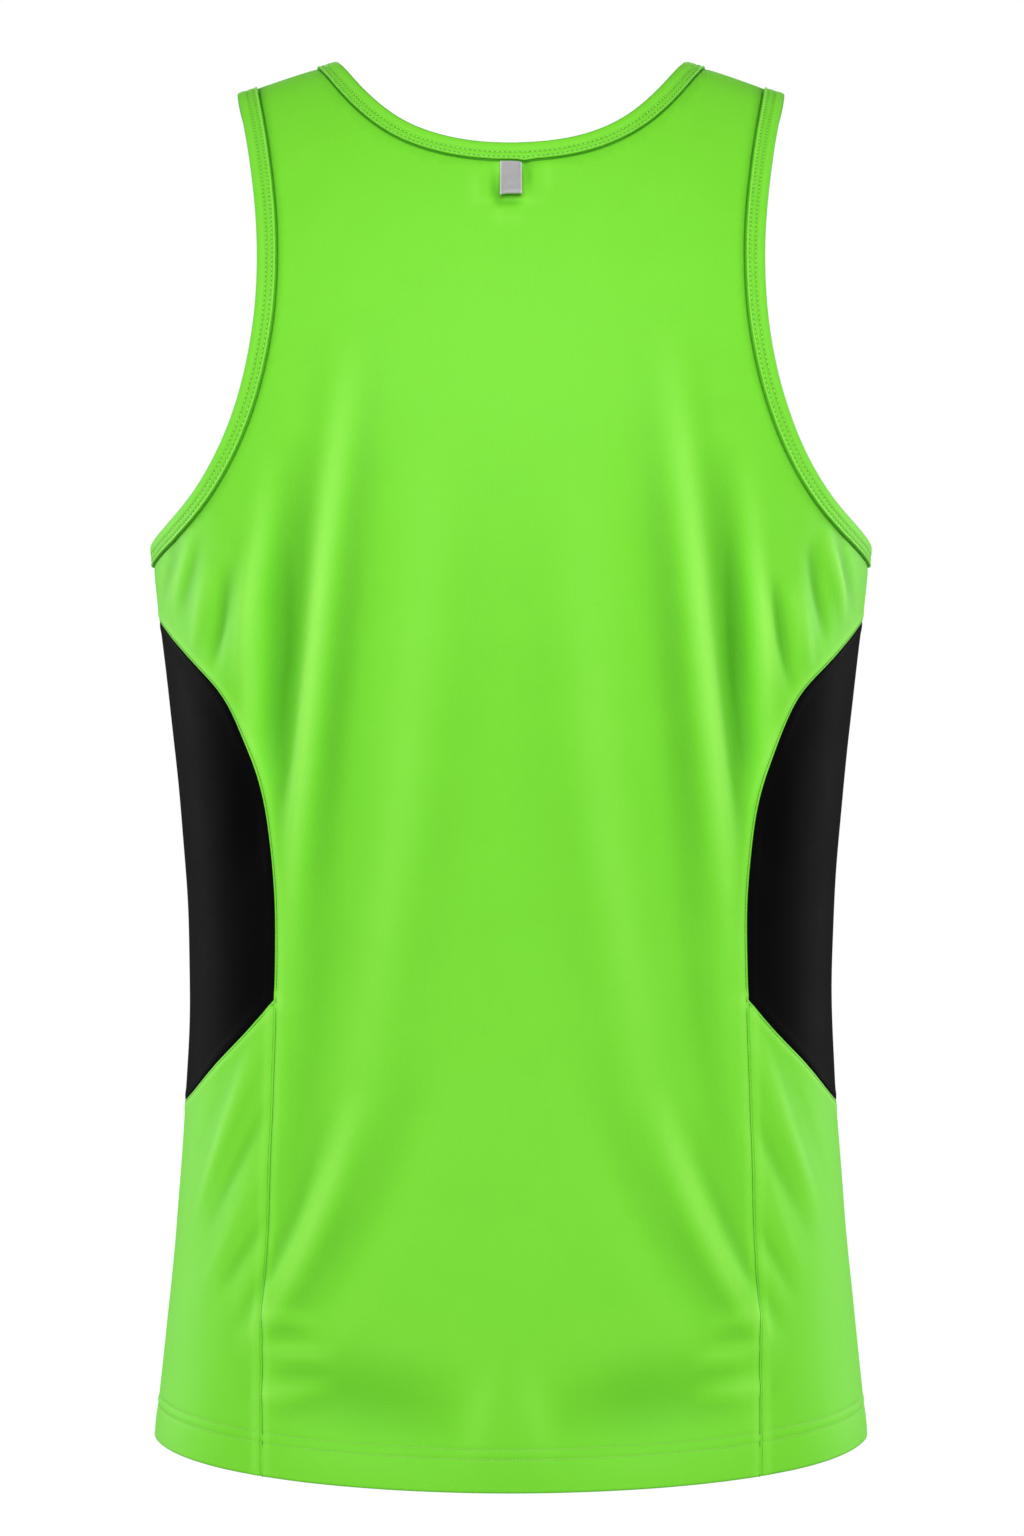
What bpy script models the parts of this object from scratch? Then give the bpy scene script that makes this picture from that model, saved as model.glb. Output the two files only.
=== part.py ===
"""Athletic singlet as it is worn: a hollow sleeveless top with black inserts at the sides.

Frame: metres, +Z up, the back of the garment faces -Y and +X is the wearer's right. The origin is
midway between the shoulder straps, at the height where their undersides rest on the shoulders.

The cloth lies on one surface of level rings. A place on it is a turn and a down. Turn is in degrees
round the body: 0 at the centre back, 90 at the wearer's right side, 180 at the centre front and
negative on the left. Down is the length of cloth below the top of the shoulder, in metres. A down
below zero goes over the shoulder to the other face, so that a line can run from back to front.
"""

import math
from collections import namedtuple

import bmesh
import bpy
import numpy as np
from mathutils import Vector
from mathutils.geometry import delaunay_2d_cdt

COLLECTION = "athletic_singlet"

# Cloth and sewing.
CLOTH = 0.0012
GAP = 0.0003
HEM_DEPTH = 0.022
HEM_STEP = 0.0030
BINDING_WIDTH = 0.0104
BINDING_CLOTH = 0.0010
BINDING_ROLL = 0.0012
TUCK = 0.0060
TUCK_STRIP = 0.0114
SHOULDER_SEAM = 0.008

# The shoulder slopes down from the high point beside the neck, and eases level towards the neck.
HIGH_POINT_X = 0.092
SHOULDER_SLOPE = math.tan(math.radians(20.0))
SLOPE_EASE = 0.060
ORIGIN_BELOW_HIGH_POINT = 0.009

# Fullness of a ring beyond a plain ellipse.
FULLNESS = 0.12

# The hem dips from the side line to the centre of the back and front.
HEM_SIDE = 0.757
HEM_DIP = 0.014

# One ring of the body. Drop is the height below the high point, and slope_share is how much of the
# shoulder's slope the ring still has.
Level = namedtuple("Level", "drop half_width back_depth front_depth slope_share")
LEVELS = (
    Level(0.000, 0.1870, 0.0000, 0.0000, 1.00),
    Level(0.006, 0.1870, 0.0240, 0.0230, 1.00),
    Level(0.020, 0.1870, 0.0445, 0.0420, 0.97),
    Level(0.038, 0.1870, 0.0620, 0.0590, 0.88),
    Level(0.058, 0.1870, 0.0765, 0.0740, 0.75),
    Level(0.102, 0.1870, 0.0985, 0.0970, 0.45),
    Level(0.150, 0.1870, 0.1120, 0.1130, 0.20),
    Level(0.200, 0.1865, 0.1185, 0.1210, 0.06),
    Level(0.250, 0.1850, 0.1185, 0.1225, 0.00),
    Level(0.300, 0.1797, 0.1155, 0.1200, 0.00),
    Level(0.350, 0.1740, 0.1100, 0.1155, 0.00),
    Level(0.400, 0.1692, 0.1040, 0.1095, 0.00),
    Level(0.450, 0.1662, 0.1000, 0.1045, 0.00),
    Level(0.500, 0.1661, 0.0995, 0.1020, 0.00),
    Level(0.550, 0.1689, 0.1025, 0.1035, 0.00),
    Level(0.600, 0.1727, 0.1075, 0.1075, 0.00),
    Level(0.650, 0.1778, 0.1120, 0.1120, 0.00),
    Level(0.700, 0.1832, 0.1160, 0.1160, 0.00),
    Level(0.740, 0.1875, 0.1185, 0.1190, 0.00),
)
LEVELS_OVER_SHOULDER = 3

# Edges and seams of the right half.
Place = namedtuple("Place", "turn down")
NECK_EDGE = (
    Place(0.0, 0.1060),
    Place(8.0, 0.1008),
    Place(15.0, 0.0852),
    Place(20.0, 0.0626),
    Place(23.8, 0.0340),
    Place(25.8, SHOULDER_SEAM),
    Place(26.2, -0.0200),
    Place(25.2, -0.0550),
    Place(22.6, -0.0900),
    Place(17.5, -0.1220),
    Place(10.0, -0.1410),
    Place(0.0, -0.1470),
)
ARM_EDGE = (
    Place(90.0, 0.2980),
    Place(77.0, 0.2950),
    Place(65.1, 0.2866),
    Place(55.1, 0.2723),
    Place(46.1, 0.2424),
    Place(41.7, 0.2118),
    Place(39.3, 0.1540),
    Place(40.5, 0.1060),
    Place(43.0, 0.0575),
    Place(45.4, SHOULDER_SEAM),
    Place(45.4, -0.0250),
    Place(42.6, -0.0650),
    Place(39.2, -0.1100),
    Place(37.6, -0.1600),
    Place(39.2, -0.2020),
    Place(44.0, -0.2350),
    Place(52.5, -0.2640),
    Place(65.0, -0.2850),
    Place(77.0, -0.2950),
    Place(90.0, -0.2980),
)
INSERT_EDGE = (
    Place(90.0, 0.3360),
    Place(80.0, 0.3390),
    Place(70.5, 0.3470),
    Place(58.6, 0.3630),
    Place(51.1, 0.3782),
    Place(47.0, 0.3934),
    Place(44.0, 0.4160),
    Place(42.3, 0.4440),
    Place(41.6, 0.4740),
    Place(41.8, 0.5000),
    Place(42.4, 0.5290),
)
INSERT_FOOT = (
    Place(42.4, 0.5290),
    Place(49.5, 0.5445),
    Place(59.4, 0.5604),
    Place(74.5, 0.5785),
    Place(90.0, 0.5850),
)
HEM_SEAM_TURN = 39.3
HEM_SEAM = (
    Place(42.4, 0.5290),
    Place(42.7, 0.5790),
    Place(42.3, 0.6290),
    Place(41.5, 0.6785),
    Place(40.4, 0.7280),
    Place(HEM_SEAM_TURN, HEM_SIDE + HEM_DIP * math.cos(math.radians(HEM_SEAM_TURN)) ** 2),
)

# Spacing of the points along edges and inside a panel, in metres on the cloth.
EDGE_STEP = 0.013
BINDING_STEP = 0.012
LATTICE_ACROSS = 0.014
LATTICE_DOWN = 0.028
METRES_PER_DEGREE = 0.0029
DOWN_PER_ACROSS = LATTICE_DOWN / LATTICE_ACROSS
LATTICE_CLEAR = 0.50
GUIDE_CLEAR = 0.10
SPAN_STEPS = 30
HEM_ROWS = (HEM_DEPTH, HEM_DEPTH + HEM_STEP)
ROLL_SIDES = 4
SHARP_ANGLE = math.radians(40)

# Settings of the flat triangulation: keep only what the outline holds, and merge nothing.
INSIDE_ONLY = 1
FLAT_EXACT = 1e-9

# Main folds, each a soft ridge (height above zero) or trough (below zero) from a through b to c.
Fold = namedtuple("Fold", "turn_a down_a turn_b down_b turn_c down_c half_width height")
FOLDS = (
    # Back, right: from the shoulder blade to the waist, then into the hem seam.
    Fold(22.0, 0.190, 27.5, 0.335, 40.5, 0.500, 0.011, 0.0032),
    Fold(29.5, 0.245, 34.5, 0.345, 40.8, 0.440, 0.011, -0.0042),
    Fold(38.0, 0.285, 41.2, 0.345, 43.2, 0.395, 0.009, 0.0022),
    Fold(44.0, 0.290, 46.2, 0.335, 48.0, 0.370, 0.008, -0.0018),
    Fold(18.0, 0.270, 23.5, 0.390, 31.0, 0.510, 0.016, -0.0022),
    Fold(19.0, 0.585, 29.0, 0.632, 39.5, 0.680, 0.014, 0.0030),
    Fold(32.5, 0.545, 35.5, 0.605, 38.5, 0.655, 0.012, -0.0026),
    Fold(41.0, 0.688, 33.5, 0.686, 25.0, 0.680, 0.008, -0.0016),
    Fold(41.0, 0.706, 33.0, 0.704, 26.5, 0.700, 0.008, -0.0014),
    Fold(20.0, 0.690, 16.0, 0.725, 11.0, 0.752, 0.022, -0.0022),
    # Back, left: the same pull lines, a little longer and deeper.
    Fold(-22.0, 0.180, -26.0, 0.335, -40.5, 0.510, 0.011, 0.0034),
    Fold(-30.5, 0.250, -34.3, 0.350, -40.5, 0.445, 0.012, -0.0044),
    Fold(-38.0, 0.290, -41.0, 0.350, -43.8, 0.400, 0.009, 0.0022),
    Fold(-43.5, 0.290, -46.5, 0.335, -49.0, 0.370, 0.008, -0.0018),
    Fold(-18.5, 0.265, -24.3, 0.385, -31.0, 0.520, 0.016, -0.0024),
    Fold(-17.5, 0.575, -27.0, 0.628, -39.5, 0.682, 0.014, 0.0030),
    Fold(-33.0, 0.540, -35.3, 0.605, -38.0, 0.655, 0.013, -0.0028),
    Fold(-41.0, 0.686, -33.0, 0.684, -25.0, 0.681, 0.008, -0.0016),
    Fold(-41.0, 0.705, -33.0, 0.703, -25.5, 0.702, 0.008, -0.0016),
    Fold(-21.0, 0.680, -16.0, 0.717, -12.0, 0.745, 0.022, -0.0022),
    # Under each arm, a small fan that dies out at the insert.
    Fold(55.0, 0.298, 53.5, 0.325, 53.0, 0.352, 0.008, 0.0018),
    Fold(62.0, 0.300, 59.5, 0.325, 58.5, 0.350, 0.007, -0.0014),
    Fold(-56.5, 0.298, -59.0, 0.325, -62.0, 0.350, 0.008, 0.0018),
    Fold(-63.5, 0.300, -65.5, 0.322, -67.5, 0.342, 0.007, -0.0014),
    # Lower side panels, out and down from the corner of the insert.
    Fold(44.0, 0.545, 51.0, 0.590, 56.0, 0.640, 0.009, 0.0020),
    Fold(52.0, 0.560, 60.0, 0.600, 66.0, 0.650, 0.010, -0.0018),
    Fold(-44.5, 0.545, -52.5, 0.590, -62.0, 0.640, 0.009, 0.0020),
    Fold(-53.0, 0.560, -58.5, 0.605, -66.5, 0.660, 0.010, -0.0018),
    # Front, from the armholes to the waist and from the waist to the hem.
    Fold(150.0, 0.250, 145.0, 0.350, 139.0, 0.470, 0.013, 0.0030),
    Fold(143.0, 0.270, 140.5, 0.345, 138.0, 0.430, 0.012, -0.0036),
    Fold(-151.0, 0.240, -146.0, 0.345, -140.0, 0.480, 0.012, 0.0028),
    Fold(-144.0, 0.265, -141.0, 0.350, -138.5, 0.440, 0.012, -0.0036),
    Fold(159.0, 0.560, 150.0, 0.625, 141.0, 0.675, 0.014, 0.0026),
    Fold(-158.0, 0.570, -149.0, 0.620, -141.0, 0.668, 0.014, 0.0028),
    Fold(168.0, 0.300, 171.0, 0.420, 169.0, 0.560, 0.020, -0.0016),
    Fold(-169.0, 0.610, -164.0, 0.680, -163.0, 0.740, 0.022, -0.0020),
)
FOLD_STEPS = 12
FOLD_TAPER = 0.8

# Neck tab: a folded length of satin tape that hangs from the neck binding, its foot standing off.
TAB_WIDTH = 0.0110
TAB_LENGTH = 0.0170
TAB_THICKNESS = 0.0010
TAB_LIFT = 0.0016
TAB_FOLD_SHARE = 0.6
TAB_ROWS = 8
TAB_COLUMNS = 3
TURN_AT_NECK_TAB = 0.0037

# Colours, as linear RGB.
LIME = (0.215, 0.735, 0.056)
BLACK = (0.008, 0.008, 0.009)
SATIN_GREY = (0.456, 0.450, 0.456)


def spline(knots, values):
    """A natural cubic spline through the rows of values, as a function of the position."""
    count = len(knots)
    step = np.diff(knots)
    slope = np.diff(values, axis=0) / step[:, None]
    system = np.eye(count)
    change = np.zeros(values.shape)
    for i in range(1, count - 1):
        system[i, i - 1 : i + 2] = step[i - 1], 2 * (step[i - 1] + step[i]), step[i]
        change[i] = 6 * (slope[i] - slope[i - 1])
    bend = np.linalg.solve(system, change)

    def value(at):
        i = np.clip(np.searchsorted(knots, at, side="right") - 1, 0, count - 2)
        width = step[i][:, None]
        to_next = (knots[i + 1] - at)[:, None]
        from_last = (at - knots[i])[:, None]
        cubic = (bend[i] * to_next**3 + bend[i + 1] * from_last**3) / (6 * width)
        left = (values[i] / width - bend[i] * width / 6) * to_next
        right = (values[i + 1] / width - bend[i + 1] * width / 6) * from_last
        return cubic + left + right

    return value


def level_spline():
    """The levels by their down, which is measured on the cloth along the centre back."""
    levels = np.array(LEVELS)
    down = np.cumsum(np.hypot(np.diff(levels[:, 0]), np.diff(levels[:, 2])))
    down = np.concatenate([[0.0], down])
    # Over the shoulder the depths change sign, so that both faces meet in one smooth top.
    over = slice(LEVELS_OVER_SHOULDER, 0, -1)
    other_face = levels[over] * (1, 1, -1, -1, 1)
    return spline(np.concatenate([-down[over], down]), np.concatenate([other_face, levels]))


LEVEL_AT = level_spline()


def on_one_face(places):
    """The same places with no down below zero."""
    turn, down = places.T
    other_turn = np.where(turn >= 0, 180.0 - turn, -180.0 - turn)
    return np.stack([np.where(down < 0, other_turn, turn), np.abs(down)], axis=1)


def ring_surface(places):
    """Points of the smooth body surface."""
    turn, down = on_one_face(places).T
    drop, half_width, back_depth, front_depth, slope_share = LEVEL_AT(down).T
    sine = np.sin(np.radians(turn))
    cosine = np.cos(np.radians(turn))
    x = half_width * sine * (1 + FULLNESS * cosine**2)
    depth = np.where(cosine > 0, back_depth, front_depth)
    y = -depth * cosine * (1 + FULLNESS * sine**2)
    fall = SHOULDER_SLOPE * (np.hypot(x, SLOPE_EASE) - math.hypot(HIGH_POINT_X, SLOPE_EASE))
    z = ORIGIN_BELOW_HIGH_POINT - drop - slope_share * fall
    return np.stack([x, y, z], axis=1)


def surface_slopes(surface, places):
    """How a surface's points move for each degree of turn and for each metre of down."""
    turn_step = np.array([0.2, 0.0])
    down_step = np.array([0.0, 0.0006])
    across = surface(places + turn_step) - surface(places - turn_step)
    along = surface(places + down_step) - surface(places - down_step)
    return across / (2 * turn_step[0]), along / (2 * down_step[1])


def outward(surface, places):
    """Unit normals of a surface, pointing out of the garment."""
    across, along = surface_slopes(surface, places)
    normal = np.cross(along, across)
    return normal / np.linalg.norm(normal, axis=1, keepdims=True)


def fold_height(places):
    """Sum of the folds at each place: a bell across each fold that fades in and out along it."""
    turn, down = on_one_face(places).T
    height = np.zeros(len(places))
    along = np.linspace(0, 1, FOLD_STEPS + 1)
    share_a = (1 - along) * (1 - 2 * along)
    share_b = 4 * along * (1 - along)
    share_c = along * (2 * along - 1)
    for fold in FOLDS:
        turns = share_a * fold.turn_a + share_b * fold.turn_b + share_c * fold.turn_c
        downs = share_a * fold.down_a + share_b * fold.down_b + share_c * fold.down_c
        nearest = np.full(len(places), np.inf)
        reached = np.zeros(len(places))
        for i in range(FOLD_STEPS):
            away_x = ((turn - turns[i] + 180) % 360 - 180) * METRES_PER_DEGREE
            away_y = down - downs[i]
            run_x = (turns[i + 1] - turns[i]) * METRES_PER_DEGREE
            run_y = downs[i + 1] - downs[i]
            share = (away_x * run_x + away_y * run_y) / (run_x**2 + run_y**2)
            share = np.clip(share, 0, 1)
            distance = np.hypot(away_x - share * run_x, away_y - share * run_y)
            closer = distance < nearest
            nearest = np.where(closer, distance, nearest)
            reached = np.where(closer, (i + share) / FOLD_STEPS, reached)
        fade = np.maximum(np.sin(np.pi * reached), 0) ** FOLD_TAPER
        height += fold.height * fade * np.exp(-((nearest / fold.half_width) ** 2))
    return height


def skin(places):
    """Points of the cloth's outer face: the body surface with its folds."""
    lift = fold_height(places)[:, None]
    return ring_surface(places) + outward(ring_surface, places) * lift


def step_lengths(line):
    """Distances between the neighbouring places of a line, about as long as on the cloth."""
    return np.hypot(*(np.diff(line, axis=0) * (METRES_PER_DEGREE, 1)).T)


def smooth_line(places, mirror=None):
    """A smooth line through places, in SPAN_STEPS steps from each place to the next.

    With a mirror turn, the line starts and ends square to that turn.
    """
    places = np.array(places)
    through = places
    first = 0
    if mirror is not None:
        reflected = places * (-1, 1) + (2 * mirror, 0)
        through = np.concatenate([reflected[2:0:-1], places, reflected[-2:-4:-1]])
        first = 2
    knots = np.concatenate([[0.0], np.cumsum(step_lengths(through))])
    steps = np.linspace(first, first + len(places) - 1, (len(places) - 1) * SPAN_STEPS + 1)
    return spline(knots, through)(np.interp(steps, np.arange(len(knots)), knots))


def even_steps(line, step=EDGE_STEP):
    """The line again, with places at even distances that are close to a step."""
    run = np.concatenate([[0.0], np.cumsum(step_lengths(line))])
    at = np.linspace(0, run[-1], max(2, round(run[-1] / step) + 1))
    return np.stack([np.interp(at, run, column) for column in line.T], axis=1)


def joined(*lines):
    """One line from lines that end where the next begins."""
    return np.concatenate([line[:-1] for line in lines[:-1]] + [lines[-1]])


def mirrored(line):
    """The same line on the left half of the body, run the other way."""
    return line[::-1] * (-1, 1)


def hem_down(turn):
    return HEM_SIDE + HEM_DIP * np.cos(np.radians(turn)) ** 2


def level_line(turn_from, turn_to, above_hem=0.0):
    """A line at one distance above the hem."""
    length = abs(turn_to - turn_from) * METRES_PER_DEGREE
    turn = np.linspace(turn_from, turn_to, round(length / EDGE_STEP) + 1)
    return np.stack([turn, hem_down(turn) - above_hem], axis=1)


class BoundEdge:
    """A bound edge as a closed ring of places, which starts on the back of the right half.

    A line that is mirrored at turn 0 is half of its ring, and one at turn 90 closes by itself. Seam
    counts the places up to the shoulder seam, and half those up to the end of the table's line.
    Into says how each place moves for one metre away from the hole, square to the edge.
    """

    def __init__(self, table, mirror):
        cut = [place.down for place in table].index(SHOULDER_SEAM) * SPAN_STEPS
        line = smooth_line(table, mirror)
        back = even_steps(line[: cut + 1], BINDING_STEP)
        front = even_steps(line[cut:], BINDING_STEP)
        line = joined(back, front)
        self.seam = len(back) - 1
        self.half = len(line) - 1
        ring = whole_outline(line) if mirror == 0 else line[:-1]
        self.places = on_one_face(ring)
        points = ring_surface(self.places)
        tangent = np.roll(points, -1, axis=0) - np.roll(points, 1, axis=0)
        across, along = surface_slopes(ring_surface, self.places)
        sideways = np.cross(tangent, np.cross(along, across))
        sideways /= np.linalg.norm(sideways, axis=1, keepdims=True)
        sideways *= np.sign(np.sum(sideways * (points - points.mean(axis=0))))
        basis = np.stack([across, along], axis=2)
        turned = basis.transpose(0, 2, 1)
        self.into = np.linalg.solve(turned @ basis, turned @ sideways[:, :, None])[:, :, 0]

    def inside(self, width):
        """The ring moved a width into the cloth."""
        return self.places + self.into * width

    def back_run(self, width):
        return self.inside(width)[: self.seam + 1]

    def front_run(self, width):
        """The run on the front of the right half, with its first place again if the ring closes."""
        ring = self.inside(width)
        return np.concatenate([ring, ring[:1]])[self.seam : self.half + 1]


def in_front(places):
    """Places as they lie on the front panel: degrees from the centre front, and down."""
    turn, down = on_one_face(places).T
    over_the_top = (np.abs(turn) < 90) & (down < TUCK_STRIP)
    across = np.where(over_the_top, turn, np.sign(turn) * 180.0 - turn)
    return np.stack([across, np.where(over_the_top, -down, down)], axis=1)


def on_back(places):
    return places


def on_front(places):
    return places * (1, -1)


def on_right_side(places):
    return places + (90, 0)


def on_left_side(places):
    return places - (90, 0)


def half_seams(neck, arm):
    """The seam lines of the right half, with the same places for both panels of each seam."""
    over = np.stack([neck.inside(TUCK_STRIP)[neck.seam], arm.inside(TUCK_STRIP)[arm.seam]])
    ends = [neck.inside(TUCK)[neck.seam], arm.inside(TUCK)[arm.seam]]
    under_arm = np.concatenate([arm.inside(TUCK_STRIP)[:1], [INSERT_EDGE[0]]])
    return {
        "shoulder": np.concatenate([ends[:1], even_steps(over), ends[1:]]),
        "side": np.concatenate([arm.inside(TUCK)[:1], even_steps(under_arm)]),
        "insert_edge": even_steps(smooth_line(INSERT_EDGE)),
        "insert_foot": even_steps(smooth_line(INSERT_FOOT)),
        "hem_seam": even_steps(smooth_line(HEM_SEAM)),
    }


def whole_outline(half):
    """A closed outline from the half of it that runs from mirror line to mirror line."""
    return joined(half, mirrored(half))[:-1]


def flat_distance(places, line):
    """Distance from each place to a line, in lattice steps."""
    step = (LATTICE_ACROSS / METRES_PER_DEGREE, LATTICE_DOWN)
    start = line[:-1] / step
    run = line[1:] / step - start
    away = places[:, None] / step - start
    share = np.clip(np.sum(away * run, axis=2) / np.sum(run * run, axis=1), 0, 1)
    return np.linalg.norm(away - share[:, :, None] * run, axis=2).min(axis=1)


def within(outline, places):
    """Which places lie inside a closed outline."""
    x, y = places[:, None].transpose(2, 0, 1)
    x_from, y_from = outline.T
    x_to, y_to = np.roll(outline, -1, axis=0).T
    beside = (y_from > y) != (y_to > y)
    run = np.where(y_to == y_from, 1, y_to - y_from)
    crossing = x_from + (y - y_from) * (x_to - x_from) / run
    return np.sum(beside & (x < crossing), axis=1) % 2 == 1


def lattice(outline):
    """Staggered rows of places over an outline's extent, alike on both sides of its middle."""
    low, high = outline.min(axis=0), outline.max(axis=0)
    step = LATTICE_ACROSS / METRES_PER_DEGREE
    columns = math.ceil(high[0] / step)
    rows = np.arange(low[1], high[1], LATTICE_DOWN)
    found = []
    for i, down in enumerate(rows):
        shift = 0.5 * (i % 2)
        turns = (np.arange(-columns, columns + 1) + shift) * step
        found.append(np.stack([turns, np.full(len(turns), down)], axis=1))
    return np.concatenate(found)


def filled(outline, guides):
    """Places and triangles that fill a closed outline, with rows of places along the guides."""
    closed = np.concatenate([outline, outline[:1]])
    places = [outline]
    count = len(outline)
    edges = [(i, (i + 1) % count) for i in range(count)]
    spread = lattice(outline)
    spread = spread[within(outline, spread)]
    spread = spread[flat_distance(spread, closed) > LATTICE_CLEAR]
    for guide in guides:
        clear = within(outline, guide) & (flat_distance(guide, closed) > GUIDE_CLEAR)
        row = guide[clear]
        spread = spread[flat_distance(spread, row) > LATTICE_CLEAR]
        places.append(row)
        edges += [(count + i, count + i + 1) for i in range(len(row) - 1)]
        count += len(row)
    places = np.concatenate(places + [spread])
    flat = [Vector(place) for place in places * (METRES_PER_DEGREE * DOWN_PER_ACROSS, 1)]
    cut = delaunay_2d_cdt(flat, edges, [tuple(range(len(outline)))], INSIDE_ONLY, FLAT_EXACT)
    order = [first[0] for first in cut[3]]
    return places[order], cut[2]


def wall(name, outer, inner, triangles, material):
    """A closed wall between two faces that share their triangles."""
    count = len(outer)
    sides = [(face[i], face[(i + 1) % 3]) for face in triangles for i in range(3)]
    paired = set(sides)
    faces = [tuple(face) for face in triangles]
    faces += [tuple(count + i for i in reversed(face)) for face in triangles]
    faces += [(b, a, count + a, count + b) for a, b in sides if (b, a) not in paired]
    return solid(name, np.concatenate([outer, inner]), faces, material)


def solid(name, points, faces, material):
    """An object with a closed mesh whose faces point out."""
    mesh = bpy.data.meshes.new(name)
    mesh.from_pydata(points.tolist(), [], faces)
    shape = bmesh.new()
    shape.from_mesh(mesh)
    bmesh.ops.recalc_face_normals(shape, faces=shape.faces)
    shape.to_mesh(mesh)
    shape.free()
    mesh.materials.append(material)
    mesh.shade_smooth()
    mesh.set_sharp_from_angle(angle=SHARP_ANGLE)
    made = bpy.data.objects.new(name, mesh)
    bpy.data.collections[COLLECTION].objects.link(made)
    return made


def cloth_depth(places):
    """Thickness of the wall: one cloth, and two where the hem is turned up inside."""
    turn, down = on_one_face(places).T
    above_hem = hem_down(turn) - down
    turned_up = np.clip((HEM_DEPTH + HEM_STEP - above_hem) / HEM_STEP, 0, 1)
    return (CLOTH * (1 + turned_up))[:, None]


def inset(outline, lay, distance):
    """A closed flat outline moved inwards by a distance that is measured on the cloth."""
    across, along = surface_slopes(ring_surface, lay(outline))
    scale = np.stack([np.linalg.norm(across, axis=1), np.linalg.norm(along, axis=1)], axis=1)
    x, y = outline.T
    turning = np.sign(np.sum(x * np.roll(y, -1) - np.roll(x, -1) * y))
    sides = []
    for run in (outline - np.roll(outline, 1, axis=0), np.roll(outline, -1, axis=0) - outline):
        run = run * scale
        run /= np.linalg.norm(run, axis=1, keepdims=True)
        sides.append(turning * np.stack([-run[:, 1], run[:, 0]], axis=1))
    meeting = 1 + np.sum(sides[0] * sides[1], axis=1, keepdims=True)
    return outline + distance * (sides[0] + sides[1]) / meeting / scale


def make_panel(name, outline, guides, lay, material):
    """One cut piece: its outline is drawn in the flat, and lay puts a flat place on the body."""
    outline = inset(outline, lay, GAP / 2)
    places, triangles = filled(outline, guides)
    places = lay(places)
    outer = skin(places)
    inner = outer - outward(skin, places) * cloth_depth(places)
    wall(name, outer, inner, triangles, material)


def make_body_panels(neck, arm, seams, material):
    """The back and the front, each to its own neck and armholes."""
    lower = (seams["insert_edge"], seams["hem_seam"], level_line(HEM_SEAM_TURN, 0.0))
    hem_rows = [level_line(-90.0, 90.0, above) for above in HEM_ROWS]
    back_half = joined(
        neck.back_run(TUCK), seams["shoulder"], arm.back_run(TUCK)[::-1], seams["side"], *lower
    )
    strips = (neck.back_run(TUCK_STRIP)[::-1], arm.back_run(TUCK_STRIP))
    guides = [joined(strips[0], mirrored(strips[0])), strips[1], mirrored(strips[1])]
    make_panel("back_panel", whole_outline(back_half), guides + hem_rows, on_back, material)
    front_half = joined(
        in_front(neck.front_run(TUCK)[::-1]),
        in_front(seams["shoulder"]),
        in_front(arm.front_run(TUCK)),
        in_front(seams["side"]),
        *lower,
    )
    strips = (in_front(neck.front_run(TUCK_STRIP)), in_front(arm.front_run(TUCK_STRIP)))
    guides = [joined(strips[0], mirrored(strips[0])), strips[1], mirrored(strips[1])]
    make_panel("front_panel", whole_outline(front_half), guides + hem_rows, on_front, material)


def make_side_panels(seams, lime, black):
    """The black insert and the lime panel under it, on each side, alike before and behind."""
    to_side = (-90, 0)
    insert = joined(seams["insert_edge"], seams["insert_foot"]) + to_side
    below = joined(seams["insert_foot"][::-1], seams["hem_seam"], level_line(HEM_SEAM_TURN, 90.0))
    hem_rows = [level_line(HEM_SEAM_TURN, 180 - HEM_SEAM_TURN, above) + to_side for above in HEM_ROWS]
    for hand, lay in (("left", on_left_side), ("right", on_right_side)):
        make_panel(f"side_upper_{hand}", whole_outline(insert), [], lay, black)
        make_panel(f"side_lower_{hand}", whole_outline(below + to_side), hem_rows, lay, lime)


def binding_section():
    """Corners of the folded binding: width into the cloth, and height above the cloth's face."""
    outer = GAP + BINDING_CLOTH
    inner = CLOTH + GAP + BINDING_CLOTH
    middle = (outer - inner) / 2
    half = (outer + inner) / 2
    roll = []
    for angle in np.radians(np.linspace(90, 270, ROLL_SIDES + 1)):
        roll.append((BINDING_ROLL * (1 + math.cos(angle)), middle + half * math.sin(angle)))
    slot = [
        (BINDING_WIDTH, -inner),
        (BINDING_WIDTH, -inner + BINDING_CLOTH),
        (TUCK - GAP, -inner + BINDING_CLOTH),
        (TUCK - GAP, GAP),
        (BINDING_WIDTH, GAP),
        (BINDING_WIDTH, outer),
    ]
    return roll + slot


def make_binding(name, edge, hand, material):
    """A strip folded over a bound edge, all the way round it."""
    rows = []
    for width, height in binding_section():
        places = on_one_face(edge.inside(width)) * (hand, 1)
        rows.append(skin(places) + outward(skin, places) * height)
    points = np.concatenate(rows)
    stations = len(edge.places)
    faces = []
    for row in range(len(rows)):
        below = (row + 1) % len(rows) * stations
        for i in range(stations):
            after = (i + 1) % stations
            faces.append((row * stations + i, row * stations + after, below + after, below + i))
    solid(name, points, faces, material)


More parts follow.
